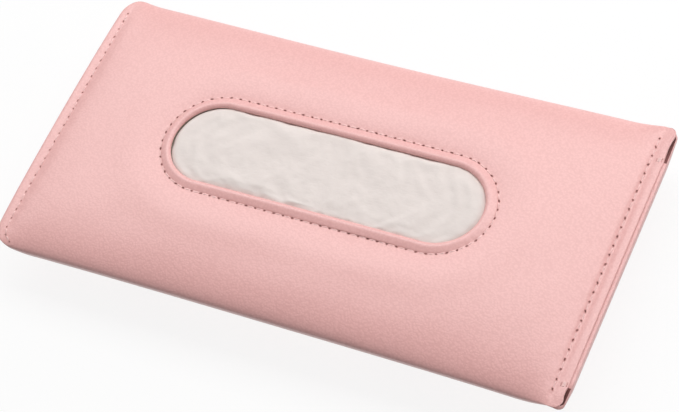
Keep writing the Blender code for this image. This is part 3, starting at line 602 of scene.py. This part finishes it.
# The left row turns in at the near corner, on an arc inside the corner's own
turn_radius, turn_y = left_corner - 2.25 * MM, left_corner - end_width / 2
turned_spots = [(left_seam + turn_radius * (1 - math.cos(angle)), turn_y - turn_radius * math.sin(angle))
                for angle in (0.12, 0.62, 1.12)]
sew("left_end_stitches", left_spots + turned_spots, cover_surface, 1, "pouch", ["left_end_thread"],
    hole=0.55, shade=0.4)
sew("right_end_stitches", right_spots, cover_surface, 1, "pouch", ["right_end_thread"], shade=0.6)
sew("left_end_back_stitches", left_spots, cover_surface, -1, "pouch", [], hole=0.55)
sew("right_end_back_stitches", right_spots, cover_surface, -1, "pouch", [])


# Bar tacks
# Seven short turns of the same thread, close together, that stop each open fold from tearing further.
tack_pitch, tack_inner, tack_outer = 0.26 * MM, hem_edge - 2.9 * MM, hem_edge - 0.8 * MM
slit_end = end_width / 2 - leatherette
for name, y in (("far", slit_end - far_slit), ("near", near_slit - slit_end)):
    spots = []
    for turn in range(-3, 4):
        spots += [(tack_inner, y + turn * tack_pitch), (tack_outer, y + (turn + 0.5) * tack_pitch)]
    sew(name + "_bar_tack", spots, cover_surface, 1, "pouch", [name + "_tack"], hole=0.2, shade=0.25)


# Front board and lining
# A sheet of grey fibre board, 0.8 mm, die-cut with the window in it, keeps the front flat. Under it
# lies a thin plain-woven lining, stuck down and cut to the same window.
def board_finish():
    """Fibre board: matt, speckled with longer fibres."""
    made, tree, place = base("grey_fibre_board", Roughness=0.88, IOR=1.45)
    fibres = add(tree, "TexNoise", {"Vector": place, "Scale": 1 / (0.9 * MM), "Detail": 5.0,
                                    "Roughness": 0.7}).outputs["Fac"]
    paint(tree, fibres, "#6E675D", "#9A9184", fibres, 0.08)
    return made


def coat(node, material):
    """Give a solid that is shown as it is the look of its material."""
    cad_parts[node].data.materials.clear()
    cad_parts[node].data.materials.append(material)


def thicken(thing, thickness, offset=-1.0):
    """Give a sheet its thickness, and keep the result in its mesh."""
    change = thing.modifiers.new("thickness", "SOLIDIFY")
    change.thickness, change.offset = thickness, offset
    evaluated = thing.evaluated_get(bpy.context.evaluated_depsgraph_get())
    mesh = bpy.data.meshes.new_from_object(evaluated)
    thing.modifiers.clear()
    thing.data = mesh
    thing.data.shade_smooth()
    thing.data.set_sharp_from_angle(angle=math.radians(40))


def sheet_points(xs, ys, height):
    """Points of a sheet over a grid of places, and the grid's quads."""
    x, y = np.meshgrid(xs, ys, indexing="ij")
    points = np.stack([x, y, height(x, y)], axis=-1).reshape(-1, 3)
    return points, grid_faces(len(xs), len(ys))


fibre_board = board_finish()
coat("front_board", fibre_board)
lining_half, lining_side, lining_depth = seam_half - 11.5 * MM, 48 * MM, 2.65 * MM
points, faces = sheet_points(np.linspace(seam_middle - lining_half, seam_middle + lining_half, 130),
                             np.linspace(-lining_side, lining_side, 66),
                             lambda x, y: front_height(x, y, lining_depth))
centres = points[faces].mean(axis=1)
out, _ = from_window(centres[:, 0], centres[:, 1])
front_lining = mesh_of("front_lining_cloth", points, faces[out > 1.5 * MM])
thicken(front_lining, 0.3 * MM)
# Plain-woven polyester in a dusty pink, its threads drawn twice as coarse as real ones: a dull, even cloth
woven_lining = woven_finish("plain_woven_polyester_lining", "#C79794", "#E3BAB7", 0.45)
front_lining.data.materials.append(woven_lining)
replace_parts(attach(front_lining, "pouch"), "front_lining")


# Top tissue
# The loose uppermost tissue: soft off-white crepe paper that the pile pushes up in the window. Its
# slack falls into shallow rumples, which a cloth simulation gives it.
def tissue_finish():
    """Creped paper: cloudy fibre, and fine crepe lines across the sheet, drawn coarser than real ones."""
    made, tree, place = base("creped_facial_tissue", Roughness=0.92, IOR=1.4, Sheen_Weight=0.3,
                             Sheen_Roughness=0.6)
    crepe = add(tree, "Mapping", {"Vector": place, "Scale": (0.35, 1.0, 1.0)})
    lines = add(tree, "TexNoise", {"Vector": crepe.outputs[0], "Scale": 1 / (0.7 * MM), "Detail": 4.0,
                                   "Roughness": 0.65})
    cloud = add(tree, "TexNoise", {"Vector": place, "Scale": 1 / (7 * MM), "Detail": 4.0, "Roughness": 0.6})
    soft = add(tree, "TexNoise", {"Vector": place, "Scale": 1 / (3.4 * MM), "Detail": 3.0})
    height = add(tree, "Math", {0: soft.outputs["Fac"], 1: 3.0, 2: lines.outputs["Fac"]},
                 operation="MULTIPLY_ADD")
    paint(tree, cloud.outputs["Fac"], "#E5DAD5", "#F0E6E1", height.outputs[0], 0.12, 0.5)
    return made


# How deep the tissue lies below the front's outer face, by the distance out from the window's edge
outs = np.array([-9.0, -4.0, -1.5, -0.5, 0.0, 0.3, 0.75, 1.3, 1.9, 2.6, 3.2]) * MM
depths = np.array([0.45, 0.5, 0.68, 0.95, 1.25, 1.55, 2.1, 2.85, 3.65, 4.05, 4.1]) * MM
tissue_step = 1.6
ys = np.arange(-48, 48.1, tissue_step) * MM
# Where the tissue dips under the window's long edges it has four rows more. The near ones lie between
# the others, and the far ones merge with them
far_rows, near_rows = np.arange(13.6, 20, tissue_step) * MM, np.arange(9.6, 16, tissue_step) * MM
ys = np.sort(np.concatenate([ys, far_rows + 0.8 * MM, -near_rows - 0.8 * MM]))
points, faces = sheet_points(np.arange(-88, 88.1, tissue_step) * MM + seam_middle, ys,
                             lambda x, y: front_height(x, y, np.interp(from_window(x, y)[0], outs, depths)))
top_tissue = mesh_of("top_tissue_sheet", points, faces)


def settle(thing, held, frames, most, **settings):
    """Run a cloth simulation with some points held, keep the result, and limit how far points go."""
    before = np.array([v.co for v in thing.data.vertices])
    group = thing.vertex_groups.new(name="held")
    group.add([int(i) for i in np.flatnonzero(held)], 1.0, "REPLACE")
    cloth = thing.modifiers.new("cloth", "CLOTH")
    cloth.settings.vertex_group_mass = "held"
    cloth.settings.effector_weights.gravity = 0.0
    for name, value in settings.items():
        setattr(cloth.settings, name, value)
    cloth.point_cache.frame_end = frames
    for step in range(1, frames + 1):
        bpy.context.scene.frame_set(step)
    evaluated = thing.evaluated_get(bpy.context.evaluated_depsgraph_get())
    move = np.array([v.co for v in evaluated.data.vertices]) - before
    size = np.linalg.norm(move, axis=1)
    after = before + move * np.minimum(1.0, most / np.maximum(size, 1e-9))[:, None]
    thing.modifiers.clear()
    thing.vertex_groups.clear()
    thing.data.vertices.foreach_set("co", after.astype(np.float32).ravel())
    thing.data.update()
    bpy.context.scene.frame_set(1)


points = np.array([v.co for v in top_tissue.data.vertices])
out, _ = from_window(points[:, 0], points[:, 1])
settle(top_tissue, out > 0.4 * MM, 18, 0.5 * MM, quality=6, mass=0.02, tension_stiffness=6.0,
       compression_stiffness=3.0, shear_stiffness=2.0, bending_stiffness=0.02, tension_damping=3.0,
       compression_damping=3.0, air_damping=4.0, use_pressure=True, uniform_pressure_force=0.25,
       shrink_min=-0.012)
smoothing = top_tissue.modifiers.new("softness", "SUBSURF")
smoothing.levels = smoothing.render_levels = 1
# Two-ply crepe tissue: matt, off-white and a little cloudy, with a soft edge to every shadow
top_tissue.data.materials.append(tissue_finish())
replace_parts(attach(top_tissue, "pouch"), "top_tissue")


# Tissue pile
# The rest of the refill: folded, interleaved tissues that lie on the back margins and sag a little
# into the loading opening. Its sides show the folds as layers.
def pile_finish():
    """Cut and folded edges of many stacked sheets, drawn coarser than real ones, with painted shade between.
    """
    made, tree, place = base("folded_facial_tissue_pile", Roughness=0.93, IOR=1.4, Sheen_Weight=0.3,
                             Sheen_Roughness=0.6)
    layers = add(tree, "TexWave", {"Vector": place, "Scale": wave_repeat / (0.5 * MM), "Distortion": 1.5,
                                   "Detail Scale": 1 / (8 * MM)}, bands_direction="Z")
    cloud = add(tree, "TexNoise", {"Vector": place, "Scale": 1 / (6 * MM), "Detail": 4.0})
    both = add(tree, "Math", {0: layers.outputs["Fac"], 1: 0.4, 2: cloud.outputs["Fac"]},
               operation="MULTIPLY_ADD")
    paint(tree, both.outputs[0], "#DAD1CA", "#F2EDE9", both.outputs[0], 0.2, 0.7)
    return made


pile_half, pile_side, pile_depth, pile_low = 90 * MM, 51.3 * MM, 5.2 * MM, 15.15 * MM
belly_drop, belly_round, clear_side, clear_end = 3 * MM, 4.5 * MM, 0.7 * MM, 0.9 * MM
end_round, end_drop, end_share = 3 * MM, 0.8 * MM, 0.012
top_points, low_points, side_points = 25, 79, 4
side = np.linspace(0, 1, side_points + 2)[1:-1]
rings = []
for x in np.linspace(seam_middle - pile_half, seam_middle + pile_half, 91):
    from_middle = abs(x - seam_middle)
    end = 1 - np.clip((pile_half - from_middle) / end_round, 0.0, 1.0)
    y = np.linspace(pile_side, -pile_side, top_points) * (1 - end_share * end)
    top = front_height(np.full(top_points, x), y, pile_depth) - end_drop * end
    top = np.maximum(top, pile_low + 1 * MM)
    low_y = np.linspace(-pile_side, pile_side, low_points) * (1 - end_share * end)
    edge = np.minimum(low_y - (opening_near + clear_side), opening_far - clear_side - low_y)
    edge = np.minimum(edge, opening_half - clear_end - from_middle)
    sag = np.sqrt(1 - (1 - np.clip(edge / belly_round, 0.0, 1.0)) ** 2)
    # The last tissue's fold shows as a low step, and its face is not quite flat
    fold = 0.25 * MM * (low_y > 7 * MM) + 0.12 * MM * np.sin(x / (13 * MM)) * np.sin(low_y / (9 * MM))
    low = pile_low + (fold - belly_drop) * sag
    ys = np.concatenate([y, np.full(side_points, y[-1]), low_y, np.full(side_points, y[0])])
    zs = np.concatenate([top, top[-1] + (low[0] - top[-1]) * side, low, low[-1] + (top[0] - low[-1]) * side])
    rings.append(np.stack([np.full(len(ys), x), ys, zs], axis=1))
count = len(rings[0])
faces = grid_faces(len(rings), count, round_columns=True).tolist()
faces += [list(range(count))[::-1], list(range(count * (len(rings) - 1), count * len(rings)))]
pile = mesh_of("tissue_pile", np.concatenate(rings), faces, closed=True)
pile.data.set_sharp_from_angle(angle=math.radians(50))
# Many plies of the same tissue: matt, with soft lines of painted shade between the layers
pile.data.materials.append(pile_finish())
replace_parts(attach(pile, "pouch"), "tissue_stack")


# Back facings
# Two strips of the lining cloth, folded double, stuck inside the back margins over the steel discs
# and over the stitches of the hinge.
facing_half = 89.8 * MM
for name, low, high, level in (("near_facing", -51.0, -37.0, 14.48), ("far_facing", 37.8, 51.0, 13.58)):
    points, faces = sheet_points(
        np.linspace(seam_middle - facing_half, seam_middle + facing_half, 120),
        np.linspace(low * MM, high * MM, 11),
        lambda x, y: level * MM + 0.06 * MM * np.sin(x / (7 * MM)) * np.sin(y / (3 * MM)))
    strip = mesh_of(name + "_cloth", points, faces)
    thicken(strip, 0.3 * MM, 1.0)
    strip.data.materials.append(woven_lining)
    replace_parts(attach(strip, "pouch"), name)


# Keepers and magnets
# Steel discs in the near margin and neodymium discs in the panel's board, all nickel plated and
# tumbled, pressed into their holes.
def metal_finish(name, dark, light, rough_low, rough_high, grain_mm, stretch=(1.0, 1.0, 1.0)):
    """Plated steel: bright metal whose roughness varies with the way it was worked."""
    made, tree, place = base(name, Metallic=1.0)
    spot = add(tree, "Mapping", {"Vector": place, "Scale": stretch})
    marks = add(tree, "TexNoise", {"Vector": spot.outputs[0], "Scale": 1 / (grain_mm * MM), "Detail": 4.0})
    rough = add(tree, "MapRange", {"Value": marks.outputs["Fac"], "From Min": 0.3, "From Max": 0.7,
                                   "To Min": rough_low, "To Max": rough_high})
    paint(tree, marks.outputs["Fac"], dark, light, marks.outputs["Fac"], 0.01, 0.3, rough.outputs["Result"])
    return made


# Nickel has a faint yellow cast, and tumbling leaves its reflections soft
nickel = metal_finish("tumbled_nickel_plate", "#B5B0A6", "#D2CDC4", 0.22, 0.38, 0.8)
for name in ("left_keeper", "right_keeper", "left_magnet", "right_magnet"):
    coat(name, nickel)
coat("panel_board", fibre_board)


# Back panel leatherette
# One pared cut of the pink leatherette. It is sewn to the back along its far edge, bends at a crease,
# and is turned over the board's other three edges, where the hem lies under the lining.
panel_half, panel_near, panel_far, panel_corner = 96.05 * MM, -50 * MM, 39.7 * MM, 8 * MM
# Points of one outline: half the near edge, a corner, an end and the far edge between its ends
near_count, corner_count, end_count, far_count = 31, 9, 25, 62


def panel_ring(inset, level):
    """Outline of the panel at an inset: up the right end, along the far edge, and back on the left."""
    half, near, far = panel_half - inset, panel_near + inset, panel_far - inset
    radius = max(panel_corner - inset, 0.4 * MM)
    turns = np.linspace(0, math.pi / 2, corner_count)
    corner_x, corner_y = half - radius + radius * np.sin(turns), near + radius - radius * np.cos(turns)
    near_x = np.linspace(0, half - radius, near_count + 1)[:-1]
    end_y = np.append(np.linspace(near + radius, far - 0.4 * MM, end_count)[1:], far)
    far_x = np.linspace(half, -half, far_count + 2)[1:-1]
    x = np.concatenate([near_x, corner_x, np.full(end_count, half), far_x, np.full(end_count, -half),
                        -corner_x[::-1], -near_x[:0:-1]])
    y = np.concatenate([np.full(near_count, near), corner_y, end_y, np.full(far_count, far), end_y[::-1],
                        corner_y[::-1], np.full(near_count - 1, near)])
    return np.stack([x + seam_middle, y, np.full(len(x), level)], axis=1)


first_far = near_count + corner_count + end_count - 1
last_far = first_far + far_count + 1
far_part = slice(first_far, last_far + 1)
# Each loop's inset and level in millimetres. The face below sinks into a groove for the stitches and
# comes out as a bead. Then the loops turn over the board's edges, while their far part goes from the
# crease to the margin under the stitches of the hinge, at a y and level of its own
face_level = 8.3
face_loops = [(6.5, face_level), (5.0, face_level), (3.9, 8.34), (3.1, 8.42), (2.6, 8.56), (2.2, 8.56),
              (1.7, 8.4), (1.2, 8.36)]
hem_loops = [(0.6, 8.5), (0.2, 8.85), (0.0, 9.4), (0.0, 10.3), (0.15, 10.9), (0.5, 11.25), (1.1, 11.38),
             (3.0, 11.38), (6.2, 11.36)]
margin_path = [(39.75, 8.75), (39.85, 9.3), (40.0, 9.9), (40.2, 10.4), (40.5, 10.75), (41.0, 10.85),
               (43.5, 10.8), (45.8, 11.0), (48.5, 10.85)]
loops = []
for inset, level in face_loops:
    loop = panel_ring(inset * MM, level * MM)
    loop[far_part, 2] = face_level * MM
    loops.append(loop)
for (inset, level), (far_y, far_level) in zip(hem_loops, margin_path):
    loop = panel_ring(inset * MM, level * MM)
    loop[far_part, 0] = np.linspace(panel_half, -panel_half, far_count + 2) + seam_middle
    loop[far_part, 1], loop[far_part, 2] = far_y * MM, far_level * MM
    loops.append(loop)
count = len(loops[0])
faces = grid_faces(len(loops), count, round_columns=True)
# Past the crease the margin and the turned hem part, so the quads that would join them are left out
column = faces % count
parting = ((column.min(axis=1) == first_far - 1) & (column.max(axis=1) == first_far)) | (
    (column.min(axis=1) == last_far) & (column.max(axis=1) == last_far + 1))
faces = faces[~(parting & (faces.min(axis=1) >= len(face_loops) * count))].tolist()
faces.append(list(range(count))[::-1])
panel_skin = mesh_of("panel_leather", np.concatenate(loops), faces)
thicken(panel_skin, 0.35 * MM)
panel_skin.data.materials.append(pebbled)
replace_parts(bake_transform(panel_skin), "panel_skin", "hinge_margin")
# Stitches six millimetres apart, in the groove round three edges and along the margin
panel_surface = surface_of(panel_skin)
row_inset = 2.4 * MM
row_half, row_near, row_corner = panel_half - row_inset, panel_near + row_inset, panel_corner - row_inset
half_row = [(row_half, y * MM) for y in np.arange(37.3, -42.0, -6.0)]
half_row += [(row_half - row_corner * (1 - math.cos(angle)), row_near + row_corner * (1 - math.sin(angle)))
             for angle in (0.35, 1.25)]
half_row += [(x * MM, row_near) for x in np.arange(84.0, 0.0, -6.0)]
spots = [(seam_middle + x, y) for x, y in half_row] + [(seam_middle, row_near)]
spots += [(seam_middle - x, y) for x, y in half_row[::-1]]
sew("panel_stitches", spots, panel_surface, -1, "back_panel", ["panel_thread"])
sew("hinge_stitches", [(seam_middle + x * MM, 45.8 * MM) for x in np.arange(-93, 94, 6)], panel_surface, -1,
    "pouch", ["hinge_thread"])


# Panel lining
# Woven lining cut smaller than the panel and stuck over the board and the turned hem. Its far edge
# runs straight along the crease.
first_inset, far_line = 3.2, 39.1
loops = []
for inset, level in ((first_inset, 11.44), (5.0, 11.5), (6.6, 11.48), (7.5, 11.15), (9.0, 11.15),
                     (10.5, 11.15)):
    loop = panel_ring(inset * MM, level * MM)
    far_end = (far_line - 0.4 * (inset - first_inset)) * MM
    loop[:, 1] *= np.where(loop[:, 1] > 0, far_end / loop[:, 1].max(), 1.0)
    loops.append(loop)
count = len(loops[0])
faces = grid_faces(len(loops), count, round_columns=True).tolist()
faces.append(list(range((len(loops) - 1) * count, len(loops) * count)))
panel_lining = mesh_of("panel_lining_cloth", np.concatenate(loops), faces)
thicken(panel_lining, 0.2 * MM, 1.0)
panel_lining.data.materials.append(woven_lining)
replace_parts(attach(panel_lining, "back_panel"), "panel_lining")


# Visor clips
# Each is one strip of 0.8 mm nickel-plated spring steel, 24 mm wide, blanked, deburred and bent back
# on itself. The leg nips toward the plate and flares at its tip, to slide over a sun visor.
clip_places = {"left": -56.0 * MM, "right": 54.1 * MM}
strip_half, steel, corner = 12 * MM, 0.8 * MM, 5 * MM
# Middle line of the strip from the side, in millimetres: plate, bend, leg, nip and flare
bend_turns = np.linspace(math.pi / 2, -math.pi / 2, 17)
path = [(y, 7.6) for y in (-38.8, -38.7, -38.3, -37.6, -36.6, -35.3, -33.8, -30, -20, -10, 0, 10, 20, 28)]
path += [(31.2 + 3.6 * math.cos(angle), 4.0 + 3.6 * math.sin(angle)) for angle in bend_turns]
path += [(y, 0.4 + 3.5 * (31.2 - y) / 63.0) for y in (20.0, 5.0, -10.0, -22.0, -28.0)]
path += [(-31.8 + 3.2 * math.cos(angle), 0.75 + 3.0 * math.sin(angle)) for angle in (1.25, 1.57, 1.95)]
path += [(y, 0.4 + 3.1 * (y + 44.8) / 11.6) for y in (-36.5, -39.8, -41.3, -42.6, -43.6, -44.3, -44.7, -44.8)]
path = np.array(path) * MM
along = np.gradient(path, axis=0)
along /= np.linalg.norm(along, axis=1)[:, None]
normal = np.stack([along[:, 1], -along[:, 0]], axis=1)
travel = np.concatenate([[0.0], np.cumsum(np.linalg.norm(np.diff(path, axis=0), axis=1))])
from_end = np.minimum(travel, travel[-1] - travel)
rounded = strip_half - corner + np.sqrt(corner ** 2 - np.clip(corner - from_end, 0, corner) ** 2)
# The strip's section, broken at its edges: side, set back in millimetres, and share of its thickness
edge = [(-1, -0.14, 0.5), (-1, 0.0, 0.36), (-1, 0.0, -0.36), (-1, -0.14, -0.5),
        (1, -0.14, -0.5), (1, 0.0, -0.36), (1, 0.0, 0.36), (1, -0.14, 0.5)]
# Spring steel brushed along the strip and plated, its marks drawn coarser than real ones: it shows
# long soft streaks
spring_steel = metal_finish("brushed_nickel_spring_steel", "#A9A59D", "#C9C5BD", 0.26, 0.42, 0.25,
                            stretch=(1.0, 0.05, 1.0))
for hand, centre in clip_places.items():
    points = []
    for spot, out, half in zip(path, normal, rounded):
        for side, back_off, level in edge:
            y, z = spot + out * level * steel
            points.append((centre + side * (half + back_off * MM), y, z))
    faces = grid_faces(len(path), len(edge), round_columns=True).tolist()
    faces += [list(range(len(edge))), list(range(len(points) - len(edge), len(points)))[::-1]]
    clip = mesh_of(hand + "_visor_clip", points, faces, closed=True)
    clip.data.set_sharp_from_angle(angle=math.radians(35))
    clip.data.materials.append(spring_steel)
    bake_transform(clip)
    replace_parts(clip, hand + "_clip", hand + "_clip_leg")


# Rivets
# Tubular rivets set through clip, leatherette and board: a domed head with a dimple, a 2.4 mm shank,
# and a flange pressed into the board. They are nickel plated like the magnets.
profile = [(0.0, 6.22), (0.5, 6.2), (0.8, 6.08), (1.1, 6.0), (1.7, 6.05), (2.3, 6.24), (2.8, 6.55),
           (3.1, 6.88), (3.2, 7.1), (3.18, 7.19), (1.2, 7.19), (1.2, 10.7), (2.3, 10.72), (2.35, 10.85),
           (2.2, 10.98), (0.0, 10.98)]
rivet_turns = [2 * math.pi * step / 40 for step in range(40)]
for hand, centre in clip_places.items():
    for end, place in (("near", -28.3 * MM), ("far", -6.6 * MM)):
        points = [(centre + radius * MM * math.cos(turn), place + radius * MM * math.sin(turn), level * MM)
                  for radius, level in profile for turn in rivet_turns]
        name = hand + "_" + end + "_rivet"
        faces = grid_faces(len(profile), len(rivet_turns), round_columns=True)
        rivet = mesh_of(name + "_head", points, faces, closed=True)
        rivet.data.set_sharp_from_angle(angle=math.radians(40))
        rivet.data.materials.append(nickel)
        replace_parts(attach(rivet, "back_panel"), name)


# Floor
# White seamless paper. The camera, and metal that mirrors it, see it as white past a soft shadow.
# Diffuse rays go through it, as does a view from behind it, so that the back can be seen from below.
bpy.ops.mesh.primitive_plane_add(size=40.0, location=(0, 0, -0.02 * MM))
floor = bpy.context.object
floor.name = "paper_floor"


def plain_rays(tree):
    """The rays' node, and 1 for rays that see a plain background: the camera's, mirrored or let through."""
    rays = add(tree, "LightPath")
    plain = add(tree, "Math", {0: rays.outputs["Is Camera Ray"], 1: rays.outputs["Is Glossy Ray"]},
                operation="MAXIMUM")
    plain = add(tree, "Math", {0: plain.outputs[0], 1: rays.outputs["Is Transmission Ray"]},
                operation="MAXIMUM")
    return rays, plain.outputs[0]


# Uncoated paper: matt, and so faintly fibrous that it reads as even white
paper, tree, place = base("white_background_paper", Roughness=0.9, IOR=1.4)
fibres = add(tree, "TexNoise", {"Vector": place, "Scale": 1 / (1.5 * MM), "Detail": 2.0})
tint = add(tree, "Mix", {0: fibres.outputs["Fac"], 6: linear("#FAFAFA"), 7: linear("#FFFFFF")},
           data_type="RGBA")
rays, plain = plain_rays(tree)
# The camera sees the paper white, and other rays a little grey
shown = add(tree, "Mix", {0: rays.outputs["Is Camera Ray"], 6: linear("#BDB8B6"), 7: tint.outputs[2]},
            data_type="RGBA")
tree.links.new(shown.outputs[2], tree.nodes["Principled BSDF"].inputs["Base Color"])
# Share of plain white in what those rays see. The rest is lit paper, which keeps the object's shadow
plain_share = 0.86
lit = tree.nodes["Principled BSDF"].outputs[0]
white = add(tree, "Emission", {"Color": (1.0, 1.0, 1.0, 1.0), "Strength": 1.0})
share = add(tree, "Math", {0: plain, 1: plain_share}, operation="MULTIPLY")
seen = add(tree, "MixShader", {0: share.outputs[0], 1: lit, 2: white.outputs[0]})
clear = add(tree, "BsdfTransparent")
behind = add(tree, "NewGeometry").outputs["Backfacing"]
open_to = add(tree, "Math", {0: rays.outputs["Is Diffuse Ray"], 1: behind}, operation="MAXIMUM")
seen = add(tree, "MixShader", {0: open_to.outputs[0], 1: seen.outputs[0], 2: clear.outputs[0]})
tree.links.new(seen.outputs[0], tree.nodes["Material Output"].inputs["Surface"])
floor.data.materials.append(paper)
floor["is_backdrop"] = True


# Light
# White walls give a weak light from all round, brighter from the far left and from straight below.
# Three softboxes light the front: a long one high on the far side, and two low ones, right and far.
world = bpy.data.worlds.new("studio")
bpy.context.scene.world = world
world.use_nodes = True
tree = world.node_tree
background = tree.nodes["Background"]
background.inputs["Color"].default_value = (1.0, 1.0, 1.0, 1.0)
toward = add(tree, "TexCoord").outputs["Generated"]
wall_light, lean, lean_way = 0.345, 0.22, (-0.45, 0.8, 0.4)
side = add(tree, "VectorMath", {0: toward, 1: lean_way}, operation="DOT_PRODUCT")
level = add(tree, "Math", {0: side.outputs["Value"], 1: lean, 2: wall_light}, operation="MULTIPLY_ADD")
down = add(tree, "VectorMath", {0: toward, 1: (0.0, 0.0, -1.0)}, operation="DOT_PRODUCT")
below = add(tree, "MapRange", {"Value": down.outputs["Value"], "From Min": 0.65, "From Max": 0.8,
                               "To Min": 0.0, "To Max": 1.3})
level = add(tree, "Math", {0: level.outputs[0], 1: below.outputs["Result"]}, operation="ADD")
_, plain = plain_rays(tree)
level = add(tree, "Mix", {0: plain, 2: level.outputs[0], 3: 1.0})
tree.links.new(level.outputs[0], background.inputs["Strength"])
# Each softbox: name, place and way it faces in metres, width, depth and watts
for name, place, toward, wide, deep, watts in (
        ("long_softbox", (-0.12, 0.39, 0.69), (0.0, -0.39, -0.67), 1.5, 0.45, 5.5),
        ("side_softbox", (0.88, 0.38, 0.2), (-0.88, -0.38, -0.18), 0.7, 0.38, 1.8),
        ("far_softbox", (0.2, 1.0, 0.2), (-0.2, -1.0, -0.18), 0.8, 0.3, 0.95)):
    lamp = bpy.data.lights.new(name, "AREA")
    lamp.shape, lamp.size, lamp.size_y, lamp.energy = "RECTANGLE", wide, deep, watts
    light = bpy.data.objects.new(name, lamp)
    light.location = place
    light.rotation_mode = "QUATERNION"
    light.rotation_quaternion = Vector(toward).to_track_quat("-Z", "Y")
    bpy.context.scene.collection.objects.link(light)
    light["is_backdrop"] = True


# Camera
# It looks down on the front from the near right, from 0.9 m away, turned as in the photograph.
camera = bpy.data.objects.new("camera", bpy.data.cameras.new("camera"))
camera.data.sensor_width, camera.data.lens = 36.0, 127.63
camera.data.clip_start, camera.data.clip_end = 0.05, 20.0
camera.location = (330.3 * MM, -398.38 * MM, 735.91 * MM)
camera.rotation_euler = Euler([math.radians(turn) for turn in (33.849, 10.818, 23.858)])
bpy.context.scene.collection.objects.link(camera)
bpy.context.scene.camera = camera
bpy.context.scene.view_settings.view_transform = "Standard"

low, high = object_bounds()
